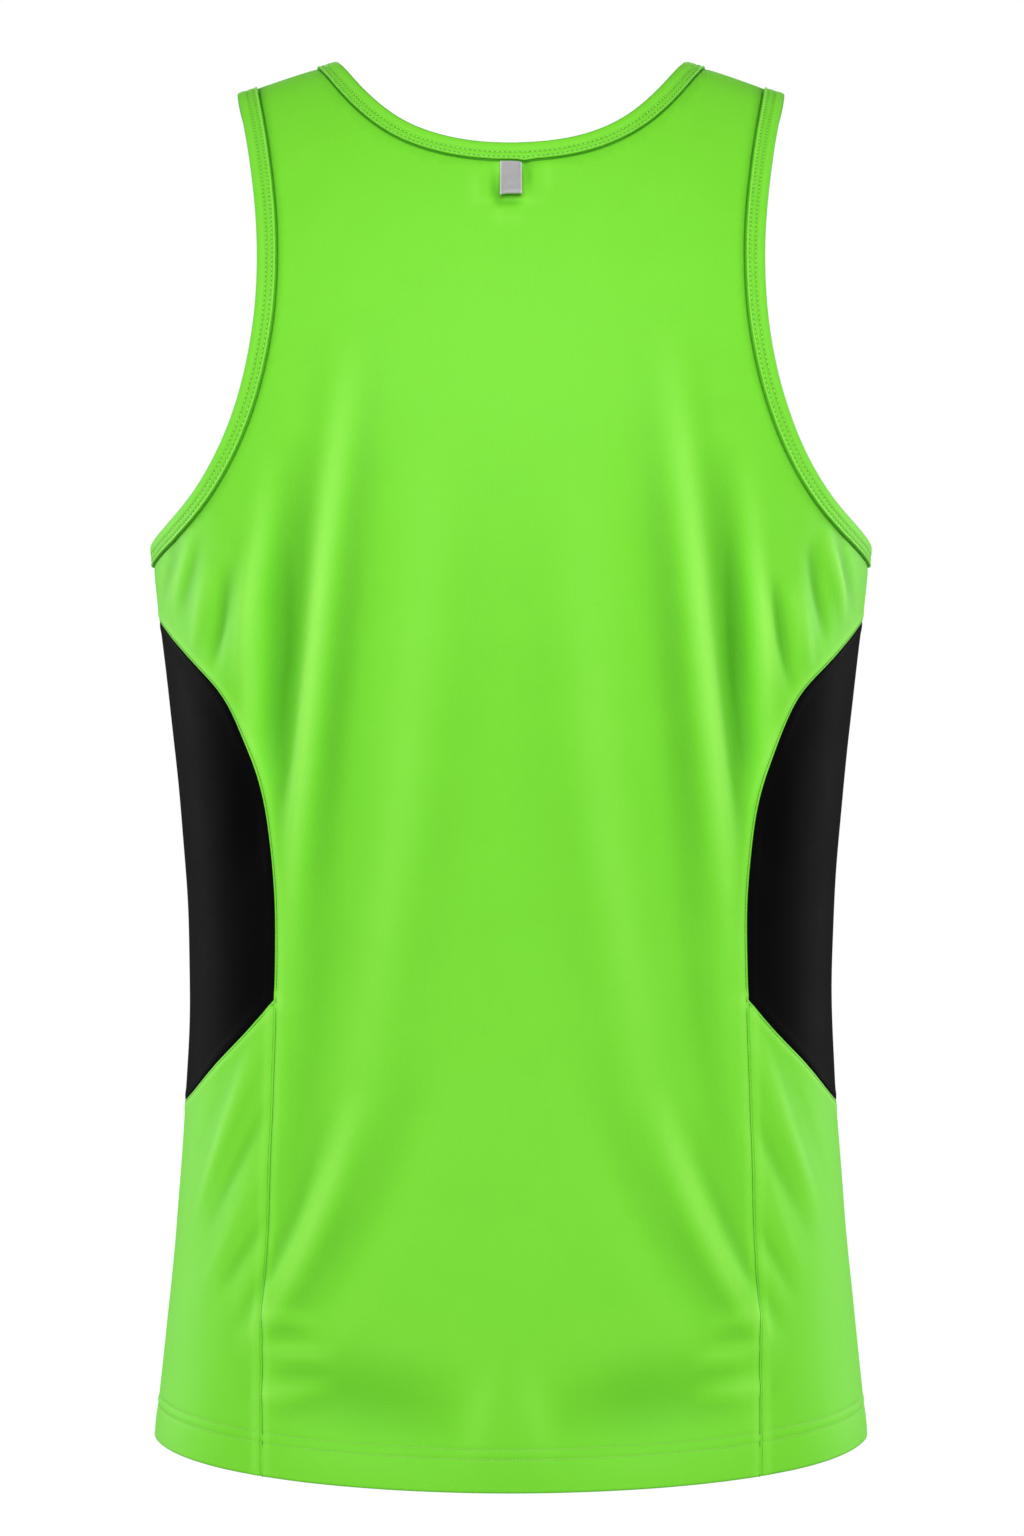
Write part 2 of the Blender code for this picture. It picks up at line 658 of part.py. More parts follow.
def make_neck_tab(neck, material):
    """The folded tape, from the neck binding's edge down over the back panel."""
    top = neck.inside(BINDING_WIDTH + GAP)[0, 1]
    down = np.linspace(top, top + TAB_LENGTH, TAB_ROWS + 1)
    turn = np.linspace(-0.5, 0.5, TAB_COLUMNS + 1) * TAB_WIDTH / TURN_AT_NECK_TAB
    columns = len(turn)
    places = np.stack(np.meshgrid(turn, down), axis=2).reshape(-1, 2)
    reached = (places[:, 1] - top) / TAB_LENGTH
    lift = GAP + TAB_LIFT * reached**2
    at_fold = reached > 1 - 0.5 / TAB_ROWS
    thickness = TAB_THICKNESS * np.where(at_fold, TAB_FOLD_SHARE, 1.0)
    normal = outward(skin, places)
    inner = skin(places) + normal * (lift + 0.5 * (TAB_THICKNESS - thickness))[:, None]
    outer = inner + normal * thickness[:, None]
    triangles = []
    for i in range(TAB_ROWS * columns):
        if (i + 1) % columns:
            triangles += [(i, i + columns, i + columns + 1), (i, i + columns + 1, i + 1)]
    wall("neck_tab", outer, inner, triangles, material)


def make_material(name, color, roughness):
    material = bpy.data.materials.new(name)
    material.use_nodes = True
    shader = material.node_tree.nodes["Principled BSDF"]
    shader.inputs["Base Color"].default_value = (*color, 1.0)
    shader.inputs["Roughness"].default_value = roughness
    shader.inputs["Metallic"].default_value = 0.0
    material.diffuse_color = (*color, 1.0)
    return material


def main():
    for old in list(bpy.data.objects):
        bpy.data.objects.remove(old, do_unlink=True)
    bpy.context.scene.collection.children.link(bpy.data.collections.new(COLLECTION))
    lime = make_material("lime_knit", LIME, 0.75)
    black = make_material("black_knit", BLACK, 0.70)
    satin = make_material("grey_satin", SATIN_GREY, 0.45)
    neck = BoundEdge(NECK_EDGE, mirror=0)
    arm = BoundEdge(ARM_EDGE, mirror=90)
    seams = half_seams(neck, arm)
    make_body_panels(neck, arm, seams, lime)
    make_side_panels(seams, lime, black)
    make_binding("neck_binding", neck, 1, lime)
    make_binding("armhole_binding_right", arm, 1, lime)
    make_binding("armhole_binding_left", arm, -1, lime)
    make_neck_tab(neck, satin)


main()
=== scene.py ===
"""Athletic singlet in its worn form: knit panels, bindings, stitches, a neck tab and a studio.

The script is laid out as an add-on and is run as a script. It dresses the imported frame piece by
piece, through the operators that it registers. Sizes are in metres.

A place on the cloth is a turn and a down, on one surface of level rings. Turn is in degrees round
the body: 0 at the centre back, 90 at the wearer's right side, 180 at the centre front and negative
on the left. Down is the length of cloth below the top of the shoulder. A down below zero goes over
the shoulder to the other face.
"""

import math
from collections import namedtuple

import bmesh
import bpy
import numpy as np
from bpy.props import FloatProperty, FloatVectorProperty, IntProperty, PointerProperty
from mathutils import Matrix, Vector
from mathutils.geometry import delaunay_2d_cdt
from mathutils.kdtree import KDTree


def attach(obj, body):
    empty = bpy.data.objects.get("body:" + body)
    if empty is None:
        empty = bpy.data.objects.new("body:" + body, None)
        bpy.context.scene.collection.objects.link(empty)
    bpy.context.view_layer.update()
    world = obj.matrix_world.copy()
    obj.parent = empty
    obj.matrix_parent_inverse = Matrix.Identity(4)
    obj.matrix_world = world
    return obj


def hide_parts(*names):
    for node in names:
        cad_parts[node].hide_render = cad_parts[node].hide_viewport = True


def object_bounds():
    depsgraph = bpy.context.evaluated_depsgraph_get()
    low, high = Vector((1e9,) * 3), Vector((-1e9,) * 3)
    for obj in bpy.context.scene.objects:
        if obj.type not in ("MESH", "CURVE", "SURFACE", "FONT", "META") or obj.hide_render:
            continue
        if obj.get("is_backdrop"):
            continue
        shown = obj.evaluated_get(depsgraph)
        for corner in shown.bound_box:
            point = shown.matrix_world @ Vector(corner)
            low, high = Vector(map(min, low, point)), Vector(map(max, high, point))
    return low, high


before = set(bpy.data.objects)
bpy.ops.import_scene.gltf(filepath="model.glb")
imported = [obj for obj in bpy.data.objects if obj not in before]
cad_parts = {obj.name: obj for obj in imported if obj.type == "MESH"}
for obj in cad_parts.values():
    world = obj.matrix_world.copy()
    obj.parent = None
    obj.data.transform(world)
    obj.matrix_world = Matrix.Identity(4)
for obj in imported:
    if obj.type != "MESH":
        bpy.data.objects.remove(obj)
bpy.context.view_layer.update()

bl_info = {
    "name": "Athletic singlet",
    "version": (1, 0, 0),
    "blender": (4, 5, 0),
    "location": "3D View > Sidebar > Singlet",
    "description": "Makes a sleeveless running top in knit, with its sewing and a plain studio",
    "category": "Object",
}

BODY = "root"

# ---------------------------------------------------------------------------------------------
# The cut, as the frame's solids have it
# ---------------------------------------------------------------------------------------------

HIGH_POINT_X = 0.092
SHOULDER_SLOPE = math.tan(math.radians(20.0))
SLOPE_EASE = 0.060
ORIGIN_BELOW_HIGH_POINT = 0.009
FULLNESS = 0.12
HEM_SIDE = 0.757
HEM_DIP = 0.014
SHOULDER_SEAM = 0.008
METRES_PER_DEGREE = 0.0029
BINDING_WIDTH = 0.0104
TUCK = 0.0060

# One ring of the body. Drop is the height below the high point, and slope_share is how much of the
# shoulder's slope the ring still has.
Level = namedtuple("Level", "drop half_width back_depth front_depth slope_share")
LEVELS = (
    Level(0.000, 0.1870, 0.0000, 0.0000, 1.00),
    Level(0.006, 0.1870, 0.0240, 0.0230, 1.00),
    Level(0.020, 0.1870, 0.0445, 0.0420, 0.97),
    Level(0.038, 0.1870, 0.0620, 0.0590, 0.88),
    Level(0.058, 0.1870, 0.0765, 0.0740, 0.75),
    Level(0.102, 0.1870, 0.0985, 0.0970, 0.45),
    Level(0.150, 0.1870, 0.1120, 0.1130, 0.20),
    Level(0.200, 0.1865, 0.1185, 0.1210, 0.06),
    Level(0.250, 0.1850, 0.1185, 0.1225, 0.00),
    Level(0.300, 0.1797, 0.1155, 0.1200, 0.00),
    Level(0.350, 0.1740, 0.1100, 0.1155, 0.00),
    Level(0.400, 0.1692, 0.1040, 0.1095, 0.00),
    Level(0.450, 0.1662, 0.1000, 0.1045, 0.00),
    Level(0.500, 0.1661, 0.0995, 0.1020, 0.00),
    Level(0.550, 0.1689, 0.1025, 0.1035, 0.00),
    Level(0.600, 0.1727, 0.1075, 0.1075, 0.00),
    Level(0.650, 0.1778, 0.1120, 0.1120, 0.00),
    Level(0.700, 0.1832, 0.1160, 0.1160, 0.00),
    Level(0.740, 0.1875, 0.1185, 0.1190, 0.00),
)
LEVELS_OVER_SHOULDER = 3

# Edges and seams of the right half. The insert's edge runs up to 2.5 mm nearer the side line than
# the solids' does.
Place = namedtuple("Place", "turn down")
NECK_EDGE = (
    Place(0.0, 0.1060), Place(8.0, 0.1008), Place(15.0, 0.0852),
    Place(20.0, 0.0626), Place(23.8, 0.0340), Place(25.8, SHOULDER_SEAM),
    Place(26.2, -0.0200), Place(25.2, -0.0550), Place(22.6, -0.0900),
    Place(17.5, -0.1220), Place(10.0, -0.1410), Place(0.0, -0.1470),
)
ARM_EDGE = (
    Place(90.0, 0.2980), Place(77.0, 0.2950), Place(65.1, 0.2866),
    Place(55.1, 0.2723), Place(46.1, 0.2424), Place(41.7, 0.2118),
    Place(39.3, 0.1540), Place(40.5, 0.1060), Place(43.0, 0.0575),
    Place(45.4, SHOULDER_SEAM), Place(45.4, -0.0250), Place(42.6, -0.0650),
    Place(39.2, -0.1100), Place(37.6, -0.1600), Place(39.2, -0.2020),
    Place(44.0, -0.2350), Place(52.5, -0.2640), Place(65.0, -0.2850),
    Place(77.0, -0.2950), Place(90.0, -0.2980),
)
INSERT_EDGE = (
    Place(90.0, 0.3360), Place(80.0, 0.3390), Place(70.5, 0.3470),
    Place(58.6, 0.3630), Place(51.1, 0.3782), Place(47.8, 0.3934),
    Place(45.0, 0.4160), Place(42.7, 0.4440), Place(41.6, 0.4740),
    Place(41.8, 0.5000), Place(42.4, 0.5290),
)
INSERT_FOOT = (
    Place(42.4, 0.5290), Place(49.5, 0.5445), Place(59.4, 0.5604),
    Place(74.5, 0.5785), Place(90.0, 0.5850),
)
HEM_SEAM_TURN = 39.3
HEM_SEAM = (
    Place(42.4, 0.5290),
    Place(42.7, 0.5790),
    Place(42.3, 0.6290),
    Place(41.5, 0.6785),
    Place(40.4, 0.7280),
    Place(HEM_SEAM_TURN, HEM_SIDE + HEM_DIP * math.cos(math.radians(HEM_SEAM_TURN)) ** 2),
)

# Folds, each a soft ridge (height above zero) or trough (below zero) from a through b to c.
Fold = namedtuple("Fold", "turn_a down_a turn_b down_b turn_c down_c half_width height")
BACK_FOLDS = (
    # Left: from the shoulder blade to the waist and into the side, then on to the hem seam.
    Fold(-22.5, 0.185, -29.5, 0.350, -42.3, 0.525, 0.0090, 0.0068),
    Fold(-30.5, 0.240, -38.8, 0.368, -46.5, 0.472, 0.0140, -0.0125),
    Fold(-18.0, 0.215, -31.0, 0.460, -41.5, 0.710, 0.016, -0.0062),
    Fold(-10.5, 0.240, -17.0, 0.440, -30.0, 0.655, 0.016, 0.0050),
    Fold(-24.5, 0.565, -32.8, 0.645, -47.0, 0.712, 0.0090, 0.0052),
    Fold(-36.0, 0.250, -42.0, 0.345, -46.8, 0.416, 0.008, 0.0034),
    Fold(-14.0, 0.540, -24.5, 0.645, -42.0, 0.714, 0.014, -0.0030),
    # The hem turns in a little at the centre back.
    Fold(-50.0, 0.755, 0.0, 0.768, 50.0, 0.755, 0.045, -0.0055),
    # Left: drag lines at the hem seam, and a soft hollow in the hem.
    Fold(-43.0, 0.687, -36.0, 0.686, -28.0, 0.689, 0.0042, 0.0012),
    Fold(-43.0, 0.704, -35.0, 0.703, -25.0, 0.706, 0.0042, 0.0018),
    Fold(-43.0, 0.725, -35.0, 0.723, -26.0, 0.719, 0.0042, 0.0018),
    Fold(-40.0, 0.720, -21.0, 0.727, -4.0, 0.734, 0.023, -0.0118),
    # Right: the same pull lines, a little shorter.
    Fold(22.3, 0.185, 29.0, 0.355, 42.1, 0.530, 0.0090, 0.0062),
    Fold(30.2, 0.240, 38.0, 0.368, 45.8, 0.472, 0.0130, -0.0120),
    Fold(17.0, 0.225, 29.5, 0.465, 41.5, 0.710, 0.015, -0.0058),
    Fold(9.0, 0.250, 15.0, 0.450, 28.5, 0.655, 0.016, 0.0046),
    Fold(23.0, 0.565, 32.2, 0.648, 47.0, 0.712, 0.0090, 0.0050),
    Fold(34.5, 0.250, 40.0, 0.345, 44.8, 0.421, 0.007, 0.0034),
    Fold(12.0, 0.540, 23.5, 0.645, 42.0, 0.714, 0.014, -0.0028),
    # Right: drag lines at the hem seam, and a soft hollow in the hem.
    Fold(43.0, 0.686, 36.0, 0.687, 29.0, 0.689, 0.0042, 0.0010),
    Fold(43.0, 0.702, 35.0, 0.704, 26.0, 0.708, 0.0042, 0.0015),
    Fold(43.0, 0.722, 35.0, 0.722, 26.0, 0.724, 0.0042, 0.0017),
    Fold(39.0, 0.721, 20.0, 0.727, 3.0, 0.734, 0.023, -0.0116),
)
UNDERARM_FOLDS = (
    # Left: a fan from the armhole to the edge of the insert.
    Fold(-39.5, 0.290, -44.0, 0.339, -48.0, 0.378, 0.006, 0.0019),
    Fold(-45.8, 0.304, -50.5, 0.340, -55.0, 0.365, 0.006, -0.0030),
    Fold(-50.5, 0.306, -56.5, 0.335, -62.0, 0.356, 0.0055, 0.0016),
    Fold(-52.5, 0.292, -59.0, 0.320, -66.0, 0.342, 0.0055, -0.0011),
    Fold(-55.5, 0.290, -62.0, 0.314, -71.0, 0.334, 0.005, 0.0013),
    Fold(-61.0, 0.295, -69.0, 0.313, -79.0, 0.331, 0.005, -0.0016),
    # Right
    Fold(37.0, 0.298, 41.6, 0.346, 45.2, 0.392, 0.006, 0.0021),
    Fold(41.8, 0.314, 46.3, 0.349, 50.5, 0.380, 0.005, -0.0030),
    Fold(46.2, 0.314, 51.0, 0.3425, 54.8, 0.366, 0.005, 0.0019),
    Fold(50.0, 0.295, 54.5, 0.325, 59.5, 0.352, 0.006, -0.0030),
    Fold(53.8, 0.289, 60.0, 0.315, 67.5, 0.343, 0.0055, 0.0027),
    Fold(58.5, 0.293, 66.0, 0.3165, 75.0, 0.338, 0.005, -0.0016),
)
TAB_FOLDS = (
    # A hollow on either side of the neck tab and one below it, painted darker by the fold shading as the
    # tab's shadow.
    Fold(-1.7, 0.116, -1.9, 0.130, -1.6, 0.141, 0.0022, -0.0024),
    Fold(1.8, 0.110, 2.0, 0.121, 1.8, 0.136, 0.0022, -0.0022),
    Fold(-2.4, 0.1350, 0.0, 0.1362, 2.2, 0.1350, 0.0020, -0.0018),
)
LOWER_SIDE_FOLDS = (
    # Left: out and down from the corner of the insert, and short ones at the hem seam.
    Fold(-43.5, 0.534, -54.3, 0.590, -68.0, 0.648, 0.007, 0.0019),
    Fold(-53.0, 0.550, -62.0, 0.591, -74.0, 0.630, 0.008, -0.0006),
    Fold(-42.0, 0.572, -50.0, 0.609, -62.0, 0.655, 0.006, -0.0014),
    Fold(-42.0, 0.598, -49.5, 0.636, -61.0, 0.678, 0.006, 0.0009),
    Fold(-41.5, 0.630, -47.5, 0.656, -54.5, 0.680, 0.005, -0.0011),
    Fold(-41.0, 0.645, -45.0, 0.668, -50.0, 0.690, 0.005, 0.0007),
    # Right
    Fold(42.5, 0.532, 51.0, 0.588, 64.0, 0.647, 0.007, 0.0020),
    Fold(51.0, 0.547, 59.5, 0.590, 71.0, 0.632, 0.008, -0.0006),
    Fold(42.0, 0.573, 48.5, 0.611, 60.0, 0.658, 0.006, -0.0011),
    Fold(42.3, 0.593, 47.5, 0.634, 56.5, 0.672, 0.0055, 0.0008),
    Fold(41.5, 0.626, 45.9, 0.655, 52.5, 0.681, 0.005, -0.0009),
    Fold(41.0, 0.646, 44.5, 0.668, 49.0, 0.688, 0.005, 0.0006),
)
FRONT_FOLDS = (
    # From the armholes to the waist, and from the waist to the hem.
    Fold(151.0, 0.230, 145.0, 0.350, 138.0, 0.490, 0.010, 0.0030),
    Fold(146.0, 0.260, 141.5, 0.350, 137.5, 0.440, 0.009, -0.0070),
    Fold(-152.0, 0.225, -146.5, 0.345, -138.5, 0.495, 0.010, 0.0028),
    Fold(-146.5, 0.255, -142.0, 0.350, -138.0, 0.445, 0.009, -0.0068),
    Fold(157.0, 0.280, 150.0, 0.460, 140.0, 0.650, 0.012, -0.0030),
    Fold(-158.5, 0.270, -151.0, 0.450, -140.5, 0.640, 0.012, -0.0032),
    Fold(160.0, 0.540, 151.0, 0.625, 139.0, 0.680, 0.011, 0.0028),
    Fold(-159.0, 0.550, -150.0, 0.620, -139.0, 0.673, 0.011, 0.0030),
    Fold(168.0, 0.300, 171.0, 0.420, 169.0, 0.560, 0.020, -0.0016),
    Fold(-169.0, 0.610, -164.0, 0.680, -163.0, 0.740, 0.022, -0.0020),
    Fold(138.0, 0.694, 146.0, 0.695, 155.0, 0.699, 0.005, 0.0014),
    Fold(-138.0, 0.700, -146.0, 0.698, -156.0, 0.696, 0.005, 0.0014),
    Fold(138.0, 0.716, 147.0, 0.717, 156.0, 0.721, 0.005, 0.0012),
    Fold(127.0, 0.300, 123.0, 0.330, 119.0, 0.358, 0.006, 0.0016),
    Fold(-126.0, 0.298, -122.0, 0.328, -117.0, 0.352, 0.006, 0.0016),
    Fold(119.0, 0.292, 113.5, 0.318, 106.0, 0.342, 0.006, -0.0014),
    Fold(-119.5, 0.290, -114.0, 0.316, -107.0, 0.338, 0.006, -0.0014),
    Fold(136.5, 0.534, 126.5, 0.590, 115.0, 0.645, 0.007, 0.0024),
    Fold(-137.0, 0.536, -127.5, 0.588, -114.0, 0.640, 0.007, 0.0024),
)
FOLDS = BACK_FOLDS + TAB_FOLDS + UNDERARM_FOLDS + LOWER_SIDE_FOLDS + FRONT_FOLDS
FOLD_STEPS = 12
# How softly a fold fades at its ends, and how many of its half widths it reaches.
FOLD_END = 0.14
FOLD_REACH = 3.2
# How much flatter the folds are at the insert's seam.
SEAM_HOLD = 0.58
SEAM_HOLD_WIDTH = 0.010
# The distance over which a place is compared with the cloth round it.
RELIEF_REACH = 0.009

# Slow unevenness of hanging knit: waves with a length, a heading, a start and a height. The circle
# that they lie on has a radius as long as so many degrees of turn.
WAVE_TURNS = 60
Wave = namedtuple("Wave", "length heading start height")
WAVES = (
    Wave(0.071, 78, 0.4, 0.00012),
    Wave(0.047, 101, 2.1, 0.00009),
    Wave(0.033, 62, 4.0, 0.00005),
    Wave(0.058, 12, 1.3, 0.00007),
)

# ---------------------------------------------------------------------------------------------
# Sewing and mesh fineness
# ---------------------------------------------------------------------------------------------

EDGE_STEP = 0.0025
BINDING_STEP = 0.0025
LATTICE_ACROSS = 0.0032
LATTICE_DOWN = 0.0042
TAB_ZONE_TURN = 5.2
TAB_ZONE_DOWN = 0.146
TAB_ZONE_FINER = 3
# How near rows and lattice may come to what they keep clear of, as shares of their spacing.
ROW_CLEAR = 0.7
LATTICE_CLEAR = 0.4
SPAN_STEPS = 60
SEAM_SAMPLE = 0.0008
SHARP_ANGLE = math.radians(50)
INSIDE_ONLY = 1
FLAT_EXACT = 1e-7
PANEL_GAP = 0.00005

# Rows of points beside each edge, by their distance from it, and rows above the hem.
EDGE_ROWS = (
    0.00015, 0.0004, 0.0008, 0.0013, 0.0020, 0.0030, 0.0039, 0.0042, 0.0045, 0.0047, 0.0049, 0.0052,
    0.0056, 0.0064,
)
HEM_ROWS = (
    0.0075, 0.0100, 0.0120, 0.0140, 0.0152, 0.0159, 0.0165, 0.0171, 0.0178,
    0.0190, 0.0202, 0.0209, 0.0215, 0.0221, 0.0228, 0.0240, 0.0260, 0.0285,
)
HEM_ZONE = 0.0300

HEM_DEPTH = 0.022
HEM_STEP = 0.0015
HEM_STITCH_ROWS = (0.0165, 0.0215)
HEM_SINK = 0.00030
HEM_SINK_WIDTH = 0.0007
HEM_TUNNEL = 0.00030
HEM_TUNNEL_WIDTH = 0.0016
HEM_FULL_AT = 0.0080
HEM_FULL_WIDTH = 0.0070
HEM_FULL = 0.00035
THINNEST = 0.00005

SEAM_PUFF = 0.00028
SEAM_PUFF_AT = 0.0030
SEAM_PUFF_WIDTH = 0.0022
TOPSTITCH = 0.0014
STITCH_SINK = 0.00022
STITCH_SINK_WIDTH = 0.0005
# The shoulder seam lies within this turn of a panel's middle, and the rest of the panel is far off.
SHOULDER_SEAM_SIDE = 60.0
FAR = 1.0

# The panels dip in beside the bindings: a steep ditch with a slight slope down to it.
DITCH_BESIDE_BINDING = 0.0003
DITCH = 0.0008
DITCH_WIDTH = 0.00035
DITCH_SLOPE = 0.0002
DITCH_SLOPE_WIDTH = 0.0024

# Painted shade and highlight that sewing adds to the knit's tone: factors on a height, or a painted shade
# of its own, as a relief.
DITCH_SHADE = 6.5
SEAM_SHADE = 3.0
HEM_RIM_SHADE = 0.0030
HEM_RIM_WIDTH = 0.0007
SHOULDER_SHADE = 0.0016
SHOULDER_SHADE_WIDTH = 0.006


def length_setting(name, description, default):
    return FloatProperty(name=name, description=description, default=default, unit="LENGTH")


def share_setting(name, description, default, **limits):
    return FloatProperty(name=name, description=description, default=default, min=0.0, **limits)


def colour_setting(name, description, default):
    look = {"size": 3, "subtype": "COLOR"}
    return FloatVectorProperty(name=name, description=description, default=default, **look)


class SingletCloth(bpy.types.PropertyGroup):
    """Sizes of the cloth and of the forms that sewing gives it."""

    thickness: length_setting("Knit thickness", "Thickness of one layer of the knit", 0.0006)
    fold_share: share_setting(
        "Fold depth", "Depth of the folds, as a share of the depth in their table", 1.0,
        soft_max=2.0, subtype="FACTOR",
    )
    # Painted light: the fold shading makes ridges paler as a painted highlight and troughs deeper as
    # painted shade.
    fold_shading: share_setting(
        "Fold tone", "How much paler the knit is on a full ridge, and deeper in a trough", 0.52,
        soft_max=1.0, subtype="FACTOR",
    )
    seam_roll: length_setting("Seam roll", "Radius over which the cloth rolls into a seam", 0.0007)
    binding_puff: length_setting("Binding height", "How far the bindings stand above the panels", 0.0012)


class SingletThread(bpy.types.PropertyGroup):
    """Sizes of the stitches."""

    width: length_setting("Thread width", "Width of a stitch's thread", 0.00042)
    binding_pitch: length_setting("Binding pitch", "Length from stitch to stitch on the bindings", 0.0025)
    hem_pitch: length_setting("Hem pitch", "Length from stitch to stitch on the hem", 0.00163)
    seam_pitch: length_setting("Seam pitch", "Length from stitch to stitch beside the seams", 0.0018)
    seed: IntProperty(
        name="Seed",
        description="Start of the small random changes from stitch to stitch",
        default=7,
    )


class SingletColours(bpy.types.PropertyGroup):
    """Colours of the cloths and threads."""

    lime: colour_setting("Lime knit", "Body, lower side panels and bindings", (0.190, 0.735, 0.031))
    black: colour_setting("Black knit", "Side inserts", (0.0031, 0.0031, 0.0034))
    thread: colour_setting("Lime thread", "Stitches of the hem and bindings", (0.480, 0.930, 0.200))
    # Thread in painted shade: the sunk stitches beside the seams, and the shade in needle holes.
    thread_in_shade: colour_setting(
        "Deep lime thread", "Sunk stitches beside the seams, and needle holes", (0.026, 0.185, 0.004)
    )
    satin: colour_setting("Grey satin", "Neck tab", (0.430, 0.424, 0.432))


class SingletStudio(bpy.types.PropertyGroup):
    """Camera and light of the plain studio."""

    distance: length_setting("Camera distance", "From the camera to the middle of the singlet", 2.4)
    frame_height: length_setting("Frame height", "What the picture covers at the singlet's middle", 0.794)
    camera_height: length_setting("Camera height", "Height of the level camera in the frame", -0.3542)
    light: share_setting("Light", "Strength of all the softboxes together, as a factor", 1.0)
    ambient: share_setting("Ambient light", "Strength of the even light from all round", 0.15)


# ---------------------------------------------------------------------------------------------
# The body surface
# ---------------------------------------------------------------------------------------------


def unit(vectors):
    """The same directions with a length of one."""
    return vectors / np.linalg.norm(vectors, axis=1, keepdims=True)


def running(steps):
    """How far along each place of a line is, from the steps between its places."""
    return np.concatenate([[0.0], np.cumsum(steps)])


def read_off(line, run, at):
    """Places of a line at some distances along it."""
    return np.stack([np.interp(at, run, column) for column in line.T], axis=1)


def spline(knots, values):
    """A natural cubic spline through the rows of values, as a function of the position."""
    count = len(knots)
    step = np.diff(knots)
    slope = np.diff(values, axis=0) / step[:, None]
    system = np.eye(count)
    change = np.zeros(values.shape)
    for i in range(1, count - 1):
        system[i, i - 1 : i + 2] = step[i - 1], 2 * (step[i - 1] + step[i]), step[i]
        change[i] = 6 * (slope[i] - slope[i - 1])
    bend = np.linalg.solve(system, change)

    def value(at):
        i = np.clip(np.searchsorted(knots, at, side="right") - 1, 0, count - 2)
        width = step[i][:, None]
        to_next = (knots[i + 1] - at)[:, None]
        from_last = (at - knots[i])[:, None]
        cubic = (bend[i] * to_next**3 + bend[i + 1] * from_last**3) / (6 * width)
        left = (values[i] / width - bend[i] * width / 6) * to_next
        right = (values[i + 1] / width - bend[i + 1] * width / 6) * from_last
        return cubic + left + right

    return value


def level_spline():
    """The levels by their down, which is measured on the cloth along the centre back."""
    levels = np.array(LEVELS)
    down = running(np.hypot(np.diff(levels[:, 0]), np.diff(levels[:, 2])))
    # Over the shoulder the depths change sign, so that both faces meet in one smooth top.
    over = slice(LEVELS_OVER_SHOULDER, 0, -1)
    other_face = levels[over] * (1, 1, -1, -1, 1)
    return spline(np.concatenate([-down[over], down]), np.concatenate([other_face, levels]))


LEVEL_AT = level_spline()


def on_one_face(places):
    """The same places with no down below zero."""
    turn, down = places.T
    other_turn = np.where(turn >= 0, 180.0 - turn, -180.0 - turn)
    return np.stack([np.where(down < 0, other_turn, turn), np.abs(down)], axis=1)


def ring_surface(places):
    """Points of the smooth body surface."""
    turn, down = on_one_face(places).T
    drop, half_width, back_depth, front_depth, slope_share = LEVEL_AT(down).T
    sine = np.sin(np.radians(turn))
    cosine = np.cos(np.radians(turn))
    x = half_width * sine * (1 + FULLNESS * cosine**2)
    depth = np.where(cosine > 0, back_depth, front_depth)
    y = -depth * cosine * (1 + FULLNESS * sine**2)
    fall = SHOULDER_SLOPE * (np.hypot(x, SLOPE_EASE) - math.hypot(HIGH_POINT_X, SLOPE_EASE))
    z = ORIGIN_BELOW_HIGH_POINT - drop - slope_share * fall
    return np.stack([x, y, z], axis=1)


def surface_slopes(places):
    """How the body surface moves for each degree of turn and for each metre of down."""
    turn_step = np.array([0.2, 0.0])
    down_step = np.array([0.0, 0.0006])
    across = ring_surface(places + turn_step) - ring_surface(places - turn_step)
    along = ring_surface(places + down_step) - ring_surface(places - down_step)
    return across / (2 * turn_step[0]), along / (2 * down_step[1])


def outward(places):
    """Unit normals of the body surface, pointing out of the garment."""
    across, along = surface_slopes(places)
    return unit(np.cross(along, across))


def turn_between(turn, other):
    """The turn from one to the other, the short way round."""
    return (turn - other + 180) % 360 - 180


def fold_height(places):
    """Sum of the folds at each place: a bell across each fold that fades in and out along it.

    The seam round the insert holds the cloth, so the folds are flatter there.
    """
    turn, down = on_one_face(places).T
    height = np.zeros(len(places))
    along = np.linspace(0, 1, FOLD_STEPS + 1)
    share_a = (1 - along) * (1 - 2 * along)
    share_b = 4 * along * (1 - along)
    share_c = along * (2 * along - 1)
    for fold in FOLDS:
        turns = share_a * fold.turn_a + share_b * fold.turn_b + share_c * fold.turn_c
        downs = share_a * fold.down_a + share_b * fold.down_b + share_c * fold.down_c
        reach = FOLD_REACH * fold.half_width
        middle = (turns.min() + turns.max()) / 2
        side = (turns.max() - turns.min()) / 2 + reach / METRES_PER_DEGREE
        near = np.abs(turn_between(turn, middle)) < side
        near &= (down > downs.min() - reach) & (down < downs.max() + reach)
        near = np.flatnonzero(near)
        nearest = np.full(len(near), np.inf)
        reached = np.zeros(len(near))
        for i in range(FOLD_STEPS):
            away_x = turn_between(turn[near], turns[i]) * METRES_PER_DEGREE
            away_y = down[near] - downs[i]
            run_x = (turns[i + 1] - turns[i]) * METRES_PER_DEGREE
            run_y = downs[i + 1] - downs[i]
            share = np.clip((away_x * run_x + away_y * run_y) / (run_x**2 + run_y**2), 0, 1)
            distance = np.hypot(away_x - share * run_x, away_y - share * run_y)
            closer = distance < nearest
            nearest = np.where(closer, distance, nearest)
            reached = np.where(closer, (i + share) / FOLD_STEPS, reached)
        fade = np.hypot(np.sin(np.pi * reached), FOLD_END) - FOLD_END
        fade /= math.hypot(1, FOLD_END) - FOLD_END
        height[near] += fold.height * fade * bell(nearest, fold.half_width)
    folded = np.flatnonzero(height)
    distance = SEWN["insert_edge"].distance(places[folded])
    height[folded] *= 1 - SEAM_HOLD * bell(distance, SEAM_HOLD_WIDTH)
    return height


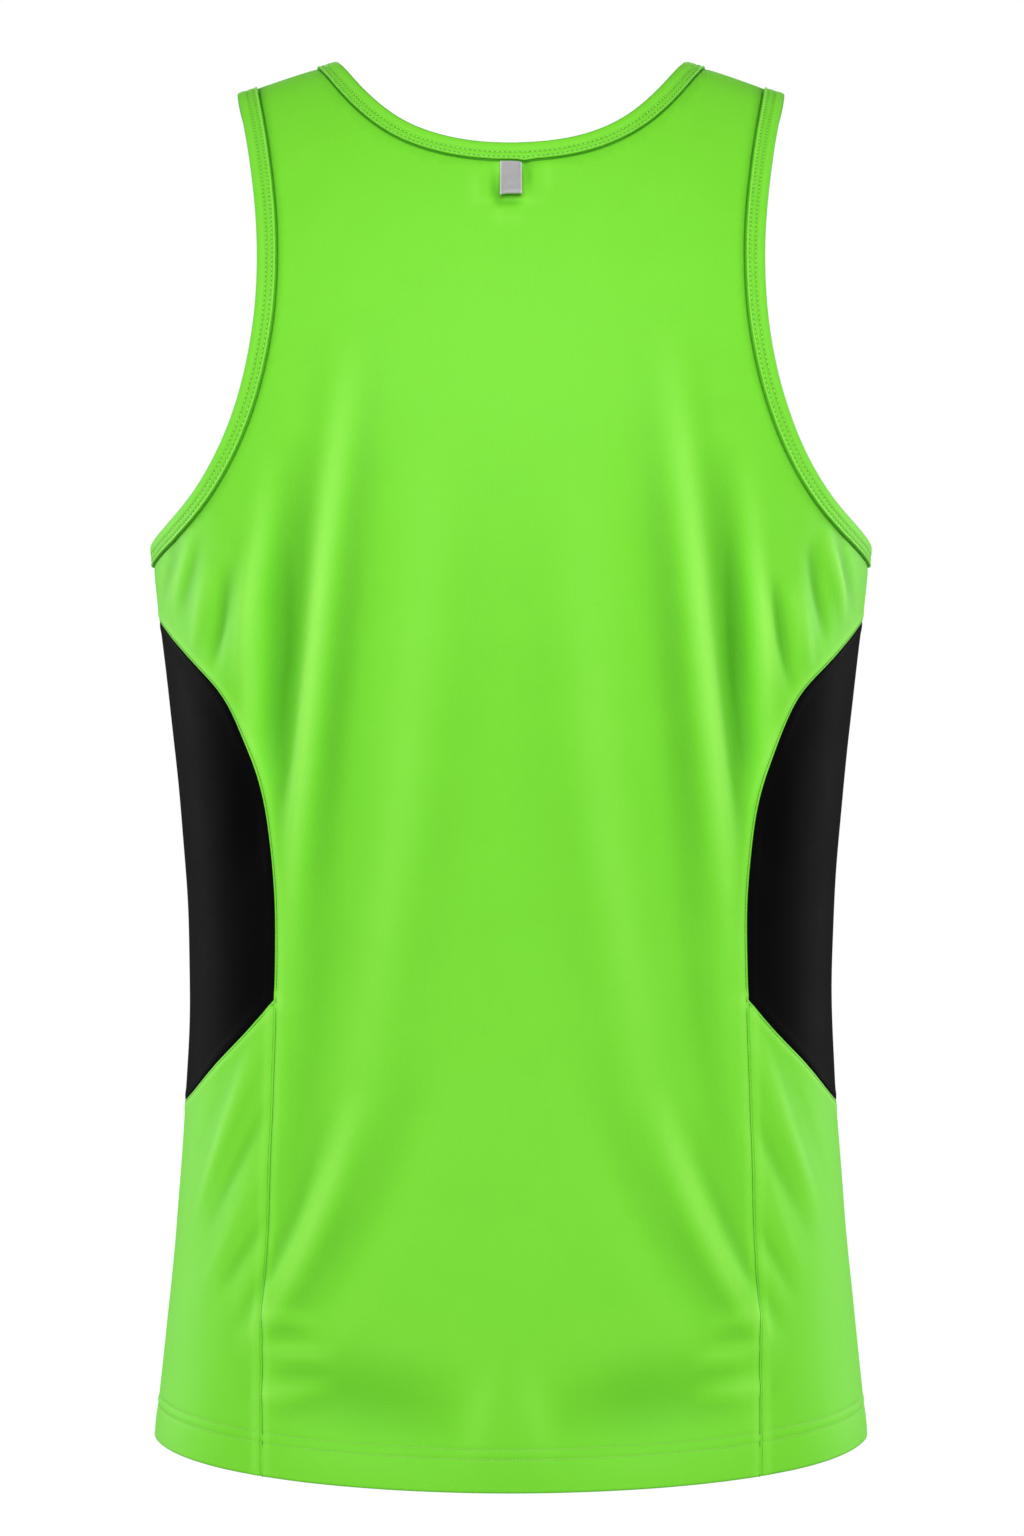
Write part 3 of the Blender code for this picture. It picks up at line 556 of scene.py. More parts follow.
def fold_relief(places):
    """How far the folds lift each place above the cloth round it; the knit's painted shade and highlight
    follow it.
    """
    reach = np.array([RELIEF_REACH / METRES_PER_DEGREE, RELIEF_REACH])
    around = [fold_height(places + reach * way) for way in ((1, 0), (-1, 0), (0, 1), (0, -1))]
    return fold_height(places) - np.mean(around, axis=0)


def wave_height(places):
    """Slow waves over the whole cloth."""
    turn, down = on_one_face(places).T
    # The waves run round the body on a circle, so that they meet again behind.
    round_body = np.sin(np.radians(turn)) * METRES_PER_DEGREE * WAVE_TURNS
    height = np.zeros(len(places))
    for wave in WAVES:
        heading = math.radians(wave.heading)
        run = down * math.cos(heading) + round_body * math.sin(heading)
        height += wave.height * np.sin(math.tau * run / wave.length + wave.start)
    return height


def skin(places):
    """Points of the cloth's outer face before sewing: the body surface with its folds."""
    deep = bpy.context.scene.singlet_cloth.fold_share
    lift = fold_height(places) * deep + wave_height(places)
    return ring_surface(places) + outward(places) * lift[:, None]


# ---------------------------------------------------------------------------------------------
# Lines on the cloth
# ---------------------------------------------------------------------------------------------


def bell(offset, width):
    return np.exp(-((offset / width) ** 2))


def step_lengths(line):
    """Distances between the neighbouring places of a line, about as long as on the cloth."""
    return np.hypot(*(np.diff(line, axis=0) * (METRES_PER_DEGREE, 1)).T)


def smooth_line(places, mirror=None):
    """A smooth line through places, in SPAN_STEPS steps from each place to the next.

    With a mirror turn, the line starts and ends square to that turn.
    """
    places = np.array(places)
    through = places
    first = 0
    if mirror is not None:
        reflected = places * (-1, 1) + (2 * mirror, 0)
        through = np.concatenate([reflected[2:0:-1], places, reflected[-2:-4:-1]])
        first = 2
    knots = running(step_lengths(through))
    steps = np.linspace(first, first + len(places) - 1, (len(places) - 1) * SPAN_STEPS + 1)
    return spline(knots, through)(np.interp(steps, np.arange(len(knots)), knots))


def even_steps(line, step=EDGE_STEP):
    """The line again, with places at even distances that are close to a step."""
    run = running(step_lengths(line))
    return read_off(line, run, np.linspace(0, run[-1], max(2, round(run[-1] / step) + 1)))


def joined(*lines):
    """One line from lines that end where the next begins."""
    return np.concatenate([line[:-1] for line in lines[:-1]] + [lines[-1]])


def mirrored(line):
    """The same line on the left half of the body, run the other way."""
    return line[::-1] * (-1, 1)


def whole_outline(half):
    """A closed outline from the half of it that runs from mirror line to mirror line."""
    return joined(half, mirrored(half))[:-1]


def hem_down(turn):
    return HEM_SIDE + HEM_DIP * np.cos(np.radians(turn)) ** 2


def above_hem(places):
    turn, down = on_one_face(places).T
    return hem_down(turn) - down


def level_line(turn_from, turn_to, above=0.0):
    """A line at one distance above the hem."""
    length = abs(turn_to - turn_from) * METRES_PER_DEGREE
    turn = np.linspace(turn_from, turn_to, round(length / EDGE_STEP) + 1)
    return np.stack([turn, hem_down(turn) - above], axis=1)


def with_hem_rows(line):
    """A line down to the hem, whose last places are at the heights of the hem's rows."""
    above = above_hem(line)
    upper = even_steps(line[above > HEM_ZONE])
    heights = np.array(sorted(EDGE_ROWS + HEM_ROWS, reverse=True) + [0.0])
    return np.concatenate([upper, read_off(line, -above, -heights)])


def cloth_scale(places):
    """Metres on the cloth for each degree of turn and each metre of down."""
    across, along = surface_slopes(places)
    return np.stack([np.linalg.norm(across, axis=1), np.linalg.norm(along, axis=1)], axis=1)


def beside(line, distance):
    """An open line moved sideways on the cloth. Seam lines that run down move to the centre."""
    scale = cloth_scale(line)
    run = unit(np.gradient(line, axis=0) * scale)
    return line + distance * np.stack([-run[:, 1], run[:, 0]], axis=1) / scale


def inset(outline, lay, distance):
    """A closed flat outline moved inwards by a distance that is measured on the cloth."""
    scale = cloth_scale(lay(outline))
    x, y = outline.T
    turning = np.sign(np.sum(x * np.roll(y, -1) - np.roll(x, -1) * y))
    sides = []
    for run in (outline - np.roll(outline, 1, axis=0), np.roll(outline, -1, axis=0) - outline):
        run = unit(run * scale)
        sides.append(turning * np.stack([-run[:, 1], run[:, 0]], axis=1))
    meeting = 1 + np.sum(sides[0] * sides[1], axis=1, keepdims=True)
    return outline + distance * (sides[0] + sides[1]) / meeting / scale


class BoundEdge:
    """A bound edge as a closed ring of places, which starts on the back of the right half.

    A line that is mirrored at turn 0 is half of its ring, and one at turn 90 closes by itself. Seam
    counts the places up to the shoulder seam, and half those up to the end of the table's line.
    Into says how each place moves for one metre away from the hole, square to the edge.
    """

    def __init__(self, table, mirror):
        cut = [place.down for place in table].index(SHOULDER_SEAM) * SPAN_STEPS
        line = smooth_line(table, mirror)
        back = even_steps(line[: cut + 1], BINDING_STEP)
        front = even_steps(line[cut:], BINDING_STEP)
        line = joined(back, front)
        self.seam = len(back) - 1
        self.half = len(line) - 1
        ring = whole_outline(line) if mirror == 0 else line[:-1]
        self.places = on_one_face(ring)
        points = ring_surface(self.places)
        tangent = np.roll(points, -1, axis=0) - np.roll(points, 1, axis=0)
        self.run = running(np.linalg.norm(np.diff(points, axis=0), axis=1))
        across, along = surface_slopes(self.places)
        sideways = unit(np.cross(tangent, np.cross(along, across)))
        sideways *= np.sign(np.sum(sideways * (points - points.mean(axis=0))))
        basis = np.stack([across, along], axis=2)
        turned = basis.transpose(0, 2, 1)
        self.into = np.linalg.solve(turned @ basis, turned @ sideways[:, :, None])[:, :, 0]

    def inside(self, width):
        """The ring moved a width into the cloth."""
        return self.places + self.into * width

    def back_run(self, width):
        return self.inside(width)[: self.seam + 1]

    def front_run(self, width):
        """The run on the front of the right half, with its first place again if the ring closes."""
        ring = self.inside(width)
        return np.concatenate([ring, ring[:1]])[self.seam : self.half + 1]


def in_front(places):
    """Places as they lie on the front panel: degrees from the centre front, and down."""
    turn, down = on_one_face(places).T
    over_the_top = (np.abs(turn) < 90) & (down < TUCK + BINDING_WIDTH)
    across = np.where(over_the_top, turn, np.sign(turn) * 180.0 - turn)
    return np.stack([across, np.where(over_the_top, -down, down)], axis=1)


def on_back(places):
    return places


def on_front(places):
    return places * (1, -1)


def on_right_side(places):
    return places + (90, 0)


def on_left_side(places):
    return places - (90, 0)


def quarters(line):
    """A line of the right half of the back, and its copies on the other three quarters."""
    front = line * (-1, 1) + (180, 0)
    return line, line * (-1, 1), front, front * (-1, 1)


NECK = BoundEdge(NECK_EDGE, mirror=0)
ARM = BoundEdge(ARM_EDGE, mirror=90)


def half_seams():
    """The seam lines of the right half, with the same places for both panels of each seam."""
    over = np.stack([NECK.inside(TUCK)[NECK.seam], ARM.inside(TUCK)[ARM.seam]])
    under_arm = np.concatenate([ARM.inside(TUCK)[:1], [INSERT_EDGE[0]]])
    return {
        "shoulder": even_steps(over),
        "side": even_steps(under_arm),
        "insert_edge": even_steps(smooth_line(INSERT_EDGE)),
        "insert_foot": even_steps(smooth_line(INSERT_FOOT)),
        "hem_seam": with_hem_rows(smooth_line(HEM_SEAM)),
    }


SEAMS = half_seams()


class SewnLine:
    """A seam line of the right half, which tells how far from it a place lies.

    A line that is alike on both faces is given for the back only.
    """

    def __init__(self, line, alike=False):
        self.alike = alike
        self.points = ring_surface(even_steps(line, SEAM_SAMPLE))
        self.tree = KDTree(len(self.points))
        for i, point in enumerate(self.points):
            self.tree.insert(point, i)
        self.tree.balance()

    def distance(self, places):
        """Distances on the cloth, for places of either half."""
        turn, down = on_one_face(places).T
        turn = np.abs(turn)
        if self.alike:
            turn = np.minimum(turn, 180 - turn)
        points = ring_surface(np.stack([turn, down], axis=1))
        index = np.array([self.tree.find(point)[1] for point in points], dtype=int)
        shortest = np.full(len(points), np.inf)
        for side in (-1, 0):
            start = self.points[np.clip(index + side, 0, len(self.points) - 2)]
            run = self.points[np.clip(index + side, 0, len(self.points) - 2) + 1] - start
            share = np.sum((points - start) * run, axis=1) / np.sum(run * run, axis=1)
            foot = start + np.clip(share, 0, 1)[:, None] * run
            shortest = np.minimum(shortest, np.linalg.norm(points - foot, axis=1))
        return shortest


SEWN = {
    name: SewnLine(SEAMS[name], alike=True) for name in ("side", "insert_edge", "insert_foot", "hem_seam")
}
BESIDE_BINDING = BINDING_WIDTH + DITCH_BESIDE_BINDING
DITCHES = [
    SewnLine(joined(edge.back_run(BESIDE_BINDING), edge.front_run(BESIDE_BINDING)))
    for edge in (NECK, ARM)
]


# ---------------------------------------------------------------------------------------------
# Forms that sewing gives the cloth
# ---------------------------------------------------------------------------------------------


def rounded_edge(distance, radius):
    """Height of cloth that rolls over an edge, as a quarter circle below the flat."""
    short = np.clip(radius - distance, 0, radius)
    return np.sqrt(radius**2 - short**2) - radius


def seam_height(distance, stitched):
    """Height beside a seam, apart from its roll: the layers under it and the sunk stitches."""
    height = SEAM_PUFF * bell(distance - SEAM_PUFF_AT, SEAM_PUFF_WIDTH)
    if stitched:
        height -= STITCH_SINK * bell(distance - TOPSTITCH, STITCH_SINK_WIDTH)
    return height


def ditch_height(places):
    """Height of the cloth where it dips in beside the bindings."""
    distance = np.minimum(*(ditch.distance(places) for ditch in DITCHES))
    steep = DITCH * bell(distance, DITCH_WIDTH)
    return -steep - DITCH_SLOPE * bell(distance, DITCH_SLOPE_WIDTH)


def hem_height(above, thickness):
    """Height of the hem: its rounded fold, its full lower part and the tunnel of its two rows."""
    height = rounded_edge(above, thickness)
    height += HEM_FULL * bell(above - HEM_FULL_AT, HEM_FULL_WIDTH)
    height += HEM_TUNNEL * bell(above - np.mean(HEM_STITCH_ROWS), HEM_TUNNEL_WIDTH)
    for row in HEM_STITCH_ROWS:
        height -= HEM_SINK * bell(above - row, HEM_SINK_WIDTH)
    return height


def wall_depth(above, thickness):
    """Thickness of the wall: two layers where the hem is turned up, closed in its fold."""
    turned_up = np.clip((HEM_DEPTH + HEM_STEP - above) / HEM_STEP, 0, 1)
    closing = 2 * (rounded_edge(above, thickness) + thickness)
    return np.maximum(np.minimum(thickness * (1 + turned_up), closing), THINNEST)


# ---------------------------------------------------------------------------------------------
# Meshes
# ---------------------------------------------------------------------------------------------


def within(outline, places):
    """Which places lie inside a closed outline."""
    x, y = places.T
    inside = np.zeros(len(places), bool)
    for (x_from, y_from), (x_to, y_to) in zip(outline, np.roll(outline, -1, axis=0)):
        if y_from == y_to:
            continue
        beside_it = (y_from > y) != (y_to > y)
        inside ^= beside_it & (x < x_from + (y - y_from) * (x_to - x_from) / (y_to - y_from))
    return inside


def apart(places, others):
    """Flat distance from each place to the nearest of the others, in metres."""
    tree = KDTree(len(others))
    for i, (x, y) in enumerate(others * (METRES_PER_DEGREE, 1)):
        tree.insert((x, y, 0), i)
    tree.balance()
    return np.array([tree.find((x, y, 0))[2] for x, y in places * (METRES_PER_DEGREE, 1)])


def lattice(low, high, finer=1):
    """Staggered rows of places between two corners, alike on both sides of the middle."""
    step = LATTICE_ACROSS / METRES_PER_DEGREE / finer
    columns = math.ceil(high[0] / step)
    found = []
    for i, down in enumerate(np.arange(low[1], high[1], LATTICE_DOWN / finer)):
        turns = (np.arange(-columns, columns + 1) + 0.5 * (i % 2)) * step
        found.append(np.stack([turns, np.full(len(turns), down)], axis=1))
    return np.concatenate(found)


def with_tab_zone(places, low):
    """The back's lattice, finer under the neck tab."""
    outside = (np.abs(places[:, 0]) > TAB_ZONE_TURN) | (places[:, 1] > TAB_ZONE_DOWN)
    finer = lattice(low, (TAB_ZONE_TURN, TAB_ZONE_DOWN), TAB_ZONE_FINER)
    return np.concatenate([places[outside], finer[np.abs(finer[:, 0]) < TAB_ZONE_TURN]])


def filled(outline, lay):
    """Places and triangles that fill a closed outline: rows beside its edge, then a lattice."""
    places = [outline]
    for reach in EDGE_ROWS:
        row = inset(outline, lay, reach)
        # Past a corner, a row's places cross over to the other side, and are left out.
        places.append(row[within(outline, row) & (apart(row, outline) > ROW_CLEAR * reach)])
    low, high = outline.min(axis=0), outline.max(axis=0)
    middle = lattice(low, high)
    if lay is on_back:
        middle = with_tab_zone(middle, low)
    middle = middle[above_hem(lay(middle)) > HEM_ZONE]
    half_turn = np.abs(outline[:, 0]).max()
    rows = [level_line(-half_turn, half_turn, above) for above in HEM_ROWS]
    if lay in (on_right_side, on_left_side):
        rows = [row * (1, 0) + (0, 1) * (hem_down(row[:, 0] + 90) - above)[:, None]
                for row, above in zip(rows, HEM_ROWS)]
    middle = np.concatenate([middle] + rows)
    middle = middle[within(outline, middle)]
    middle = middle[apart(middle, outline) > EDGE_ROWS[-1] + LATTICE_CLEAR * LATTICE_ACROSS]
    places = np.concatenate(places + [middle])
    count = len(outline)
    edges = [(i, (i + 1) % count) for i in range(count)]
    flat = [Vector(place) for place in places * (METRES_PER_DEGREE, 1)]
    cut = delaunay_2d_cdt(flat, edges, [tuple(range(count))], INSIDE_ONLY, FLAT_EXACT)
    return np.array(cut[0]) / (METRES_PER_DEGREE, 1), cut[2]


# The attribute that carries the painted shade and highlight of each point, from its relief.
PAINTED_SHADING = "painted_shading"


def in_scene(name, data):
    """A new object in the scene, for a mesh, a light or a camera."""
    made = bpy.data.objects.new(name, data)
    bpy.context.scene.collection.objects.link(made)
    return made


def mesh_object(name, points, faces, material, maps, painted_shading=None):
    """An object with a closed mesh whose faces point out.

    Maps holds a map place for each point, and painted_shading how much painted shade or highlight it
    gets, as a relief above the cloth round it.
    """
    mesh = bpy.data.meshes.new(name)
    mesh.from_pydata(points.tolist(), [], faces)
    shape = bmesh.new()
    shape.from_mesh(mesh)
    bmesh.ops.recalc_face_normals(shape, faces=shape.faces)
    shape.to_mesh(mesh)
    shape.free()
    layer = mesh.uv_layers.new(name="Cloth")
    corners = np.empty(len(mesh.loops), np.int32)
    mesh.loops.foreach_get("vertex_index", corners)
    layer.data.foreach_set("uv", maps[corners].astype(np.float32).ravel())
    if painted_shading is not None:
        heights = mesh.attributes.new(PAINTED_SHADING, "FLOAT", "POINT")
        heights.data.foreach_set("value", painted_shading.astype(np.float32))
    mesh.materials.append(material)
    mesh.shade_smooth()
    mesh.set_sharp_from_angle(angle=SHARP_ANGLE)
    return in_scene(name, mesh)


def wall(name, outer, inner, triangles, material, maps, painted_shading=None):
    """A closed wall between two faces that share their triangles."""
    count = len(outer)
    sides = [(face[i], face[(i + 1) % 3]) for face in triangles for i in range(3)]
    paired = set(sides)
    faces = [tuple(face) for face in triangles]
    faces += [tuple(count + i for i in reversed(face)) for face in triangles]
    faces += [(b, a, count + a, count + b) for a, b in sides if (b, a) not in paired]
    points = np.concatenate([outer, inner])
    if painted_shading is not None:
        painted_shading = np.concatenate([painted_shading, painted_shading])
    return mesh_object(name, points, faces, material, np.concatenate([maps, maps]), painted_shading)


def ring_faces(rows, stations):
    """Faces of a closed tube of rows, each a closed ring of stations."""
    faces = []
    for row in range(rows):
        below = (row + 1) % rows * stations
        for i in range(stations):
            after = (i + 1) % stations
            faces.append((row * stations + i, row * stations + after, below + after, below + i))
    return faces


# ---------------------------------------------------------------------------------------------
# Node trees
# ---------------------------------------------------------------------------------------------


def maths(operation, other_first=False):
    """A method that joins a wire to another value, or to none, by a Math node."""

    def join(wire, *others):
        values = (*others, wire) if other_first else (wire, *others)
        node = wire.graph.node("ShaderNodeMath", {"operation": operation}, dict(enumerate(values)))
        return Wire(wire.graph, node.outputs[0])

    return join


class Wire:
    """A number or colour that leaves a socket. Numbers take part in Python's arithmetic."""

    __add__ = maths("ADD")
    __radd__ = maths("ADD", other_first=True)
    __sub__ = maths("SUBTRACT")
    __rsub__ = maths("SUBTRACT", other_first=True)
    __mul__ = maths("MULTIPLY")
    __rmul__ = maths("MULTIPLY", other_first=True)
    __truediv__ = maths("DIVIDE")
    __rtruediv__ = maths("DIVIDE", other_first=True)
    sine = maths("SINE")
    absolute = maths("ABSOLUTE")
    above = maths("GREATER_THAN")
    below = maths("LESS_THAN")

    def __init__(self, graph, socket):
        self.graph = graph
        self.socket = socket


class Graph:
    """A node tree, and the one way in which nodes join it."""

    def __init__(self, tree):
        self.tree = tree

    def node(self, kind, settings=None, inputs=None):
        """A node, with its settings set before the values or links of its sockets."""
        made = self.tree.nodes.new(kind)
        for name, value in (settings or {}).items():
            setattr(made, name, value)
        for name, value in (inputs or {}).items():
            self.feed(made.inputs[name], value)
        return made

    def feed(self, socket, value):
        if isinstance(value, Wire):
            value = value.socket
        if isinstance(value, bpy.types.NodeSocket):
            self.tree.links.new(value, socket)
        else:
            socket.default_value = value


class Finish(Graph):
    """A material's tree round its principled shader."""

    MIX_FACTOR, MIX_FROM, MIX_TO, MIX_RESULT = 0, 6, 7, 2

    def __init__(self, name, **constants):
        self.material = bpy.data.materials.new(name)
        self.material.use_nodes = True
        super().__init__(self.material.node_tree)
        self.shader = self.tree.nodes["Principled BSDF"]
        for socket, value in constants.items():
            self.shader.inputs[socket.replace("_", " ")].default_value = value

    def wire(self, node, output=0):
        return Wire(self, node.outputs[output])

    def cloth_map(self):
        """Across and along of the piece's own map, in metres."""
        where = self.node("ShaderNodeUVMap", {"uv_map": "Cloth"})
        parts = self.node("ShaderNodeSeparateXYZ", inputs={0: where.outputs[0]})
        return self.wire(parts, 0), self.wire(parts, 1)

    def noise(self, scale, detail=2.0, roughness=0.5):
        """Noise in the object's own space, from 0 to 1."""
        where = self.node("ShaderNodeTexCoord")
        inputs = {"Vector": where.outputs["Object"], "Scale": scale, "Detail": detail}
        inputs["Roughness"] = roughness
        return self.wire(self.node("ShaderNodeTexNoise", inputs=inputs))

    def mix(self, factor, low, high):
        """A colour between two, by a number."""
        inputs = {self.MIX_FACTOR: factor, self.MIX_FROM: low, self.MIX_TO: high}
        settings = {"data_type": "RGBA", "clamp_factor": True}
        return self.wire(self.node("ShaderNodeMix", settings, inputs), self.MIX_RESULT)

    def bump(self, height, distance, strength=1.0, under=None):
        inputs = {"Height": height, "Distance": distance, "Strength": strength}
        if under is not None:
            inputs["Normal"] = under
        return self.wire(self.node("ShaderNodeBump", inputs=inputs))

    def set(self, socket, value):
        self.feed(self.shader.inputs[socket], value)


def tinted(colour, shares):
    """A colour with each channel made darker or lighter by its own share, and its alpha."""
    return (*(min(1.0, channel * part) for channel, part in zip(colour, shares)), 1.0)


def shade(colour, part):
    """A colour made darker or lighter, with its alpha."""
    return tinted(colour, (part,) * 3)


# Painted shade and highlight: the lime of a trough and of a ridge, as shares of each channel of the flat
# cloth's.
LIME_IN_PAINTED_SHADE = (0.28, 0.44, 0.22)
LIME_IN_PAINTED_HIGHLIGHT = (2.00, 1.34, 4.00)
# The widest change of tone, from mottling and painted shading together, and the relief that gets the full
# painted shading.
TONE_RANGE = 0.55
FULL_RELIEF = 0.004

KNIT_WALE = 0.00085
KNIT_COURSE = 0.00070
LOOP_LEAN = 0.45
LOOP_SHARE = 0.35
KNIT_RISE = 0.00005
KNIT_BUMP = 0.7
CLOUDS = (38.0, 3.0, 0.55)
CLOUD_SHARE = 0.6
GRAIN = (900.0, 1.0)
ROUGHNESS_RANGE = 0.12

KnitLook = namedtuple("KnitLook", "roughness sheen gloss mottle")
LIME_LOOK = KnitLook(roughness=0.60, sheen=0.02, gloss=0.20, mottle=0.05)
BLACK_LOOK = KnitLook(roughness=0.50, sheen=0.0, gloss=0.01, mottle=0.12)


def knit_loops(finish):
    """The bump of a plain knit's loops: columns of small leaning legs."""
    across, along = finish.cloth_map()
    leg = (across * (math.pi / KNIT_WALE)).sine().absolute()
    loops = ((along / KNIT_COURSE + leg * LOOP_LEAN) * math.tau).sine()
    return finish.bump(leg * (1 - LOOP_SHARE) + leg * loops * LOOP_SHARE, KNIT_RISE, KNIT_BUMP)


def knit(name, tones, look):
    """A knit's material, mottled a little and toned by the relief of its folds: painted shade in troughs,
    a painted highlight on ridges.
    """
    finish = Finish(
        name, Sheen_Weight=look.sheen, Sheen_Roughness=0.45, Specular_IOR_Level=look.gloss
    )
    cloudy = finish.noise(*CLOUDS)
    mottle = cloudy * CLOUD_SHARE + finish.noise(*GRAIN) * (1 - CLOUD_SHARE) - 0.5
    painted_shading = finish.wire(finish.node("ShaderNodeAttribute", {"attribute_name": PAINTED_SHADING}), "Fac")
    shading_scale = bpy.context.scene.singlet_cloth.fold_shading / FULL_RELIEF
    change = mottle * (2 * look.mottle) + painted_shading * shading_scale
    deep, plain, pale = tones
    shaded = finish.mix(change / TONE_RANGE + 1, deep, plain)
    finish.set("Base Color", finish.mix(change / TONE_RANGE, shaded, pale))
    finish.set("Roughness", look.roughness + (cloudy - 0.5) * ROUGHNESS_RANGE)
    finish.set("Normal", knit_loops(finish))
    return finish


def lime_knit(name="lime_knit"):
    lime = bpy.context.scene.singlet_colours.lime
    # The lime deepened as painted shade, the flat lime, and the lime paled as a painted highlight.
    tones = tinted(lime, LIME_IN_PAINTED_SHADE), shade(lime, 1.0), tinted(lime, LIME_IN_PAINTED_HIGHLIGHT)
    return knit(name, tones, LIME_LOOK)


def black_knit():
    black = bpy.context.scene.singlet_colours.black
    # The black deepened as painted shade, the flat black, and the black paled as a painted highlight.
    tones = shade(black, 1 - TONE_RANGE), shade(black, 1.0), shade(black, 1 + TONE_RANGE)
    return knit("black_knit", tones, BLACK_LOOK)


LADDER_RISE = 0.00010
LADDER_BUMP = 0.8


def lime_binding(name, rows):
    """The lime knit as a folded strip: small ladder marks lie between its rows of stitches."""
    finish = lime_knit(name)
    width, run = finish.cloth_map()
    between = width.above(rows[0]) * width.below(rows[1])
    pitch = bpy.context.scene.singlet_thread.binding_pitch
    ladder = (run * (math.tau / pitch)).sine() * between
    finish.set("Normal", finish.bump(ladder, LADDER_RISE, LADDER_BUMP, knit_loops(finish)))
    return finish.material


THREAD_CHANGE = 0.12
THREAD_NOISE = (420.0, 1.0)


def thread(name, colour):
    """Sewing thread, with a slight change of tone from stitch to stitch."""
    finish = Finish(name, Roughness=0.5, Sheen_Weight=0.1, Specular_IOR_Level=0.2)
    tones = shade(colour, 1 - THREAD_CHANGE), shade(colour, 1 + THREAD_CHANGE)
    finish.set("Base Color", finish.mix(finish.noise(*THREAD_NOISE), *tones))
    return finish.material


SATIN_RIB = 0.00032
SATIN_RISE = 0.00004
SATIN_BUMP = 0.6
SATIN_ROUGHNESS = 0.42
SATIN_CLOUDS = (260.0, 3.0, 0.6)
SATIN_TONES = (0.86, 1.1)
SELVEDGE = 0.0007
SELVEDGE_TONE = 1.55
SELVEDGE_SHARE = 0.75
TAB_WIDTH = 0.0110


def grey_satin():
    """Satin tape: fine ribs across it, lighter selvedges and a little cloudiness."""
    colour = bpy.context.scene.singlet_colours.satin
    finish = Finish("grey_satin", Sheen_Weight=0.15, Specular_IOR_Level=0.5)
    across, along = finish.cloth_map()
    selvedge = across.absolute().above(TAB_WIDTH / 2 - SELVEDGE)
    ribs = (along * (math.tau / SATIN_RIB)).sine()
    cloudy = finish.noise(*SATIN_CLOUDS)
    body = finish.mix(cloudy, *(shade(colour, tone) for tone in SATIN_TONES))
    edge = shade(colour, SELVEDGE_TONE)
    finish.set("Base Color", finish.mix(selvedge * SELVEDGE_SHARE, body, edge))
    finish.set("Roughness", SATIN_ROUGHNESS + cloudy * ROUGHNESS_RANGE)
    finish.set("Normal", finish.bump(ribs, SATIN_RISE, SATIN_BUMP))
    return finish.material


# ---------------------------------------------------------------------------------------------
# Pieces
# ---------------------------------------------------------------------------------------------

# The flat cut of each piece that shows: width, length and the area that the cut covers.
Cut = namedtuple("Cut", "width length area")


def dress(piece, nodes):
    """Attaches a cloth piece to the body and hides the nodes that it stands for."""
    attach(piece, BODY)
    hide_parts(*nodes)


def make_panel(name, outline, lay, lines, shoulder, material):
    """One cut piece of the body, with the seams of its lines rolled in.

    Lines names the seams beside the piece, and says which are topstitched on it. Shoulder is the
    down of the shoulder seam in the piece's flat, or None.
    """
    cloth = bpy.context.scene.singlet_cloth
    flat, triangles = filled(inset(outline, lay, PANEL_GAP), lay)
    places = lay(flat)
    above = above_hem(places)
    height = hem_height(above, cloth.thickness)
    # Painted shading: fold troughs are painted darker and fold ridges paler.
    painted_shading = fold_relief(places)
    # Painted shade along the hem's rounded lower rim.
    painted_shading -= HEM_RIM_SHADE * bell(above, HEM_RIM_WIDTH)
    roll = np.zeros(len(places))
    distances = [(SEWN[line].distance(places), stitched) for line, stitched in lines.items()]
    if shoulder is not None:
        ditch = ditch_height(places)
        height += ditch
        # Painted shade: the ditch beside the bindings is painted darker in the knit's tone.
        painted_shading += DITCH_SHADE * ditch
        over = np.where(np.abs(flat[:, 0]) < SHOULDER_SEAM_SIDE, flat[:, 1] - shoulder, FAR)
        # Painted shade in a band along the top, where the cloth turns over the shoulder.
        painted_shading -= SHOULDER_SHADE * bell(over, SHOULDER_SHADE_WIDTH)
        distances.append((np.abs(over), False))
    for distance, stitched in distances:
        roll = np.minimum(roll, rounded_edge(distance, cloth.seam_roll))
        lift = seam_height(distance, stitched)
        height += lift
        # Painted light from the seam's height: its puffs painted paler, its sunk stitches darker.
        painted_shading += SEAM_SHADE * lift
    normal = outward(places)
    outer = skin(places) + normal * (height + roll)[:, None]
    inner = outer - normal * wall_depth(above, cloth.thickness)[:, None]
    maps = flat * (METRES_PER_DEGREE, -1)
    return wall(name, outer, inner, triangles, material, maps, painted_shading)


def body_outline(neck_run, shoulder, arm_run, side):
    half = joined(
        neck_run, shoulder, arm_run, side, SEAMS["insert_edge"], SEAMS["hem_seam"],
        level_line(HEM_SEAM_TURN, 0.0),
    )
    return whole_outline(half)


def make_body_panels(material):
    lines = {"side": False, "insert_edge": True, "hem_seam": True}
    back = body_outline(
        NECK.back_run(TUCK), SEAMS["shoulder"], ARM.back_run(TUCK)[::-1], SEAMS["side"]
    )
    front = body_outline(
        in_front(NECK.front_run(TUCK)[::-1]),
        in_front(SEAMS["shoulder"]),
        in_front(ARM.front_run(TUCK)),
        in_front(SEAMS["side"]),
    )
    for name, outline, lay, shoulder in (
        ("back_panel", back, on_back, SHOULDER_SEAM),
        ("front_panel", front, on_front, -SHOULDER_SEAM),
    ):
        piece = make_panel(f"{name}_knit", outline, lay, lines, shoulder, material)
        dress(piece, [name])


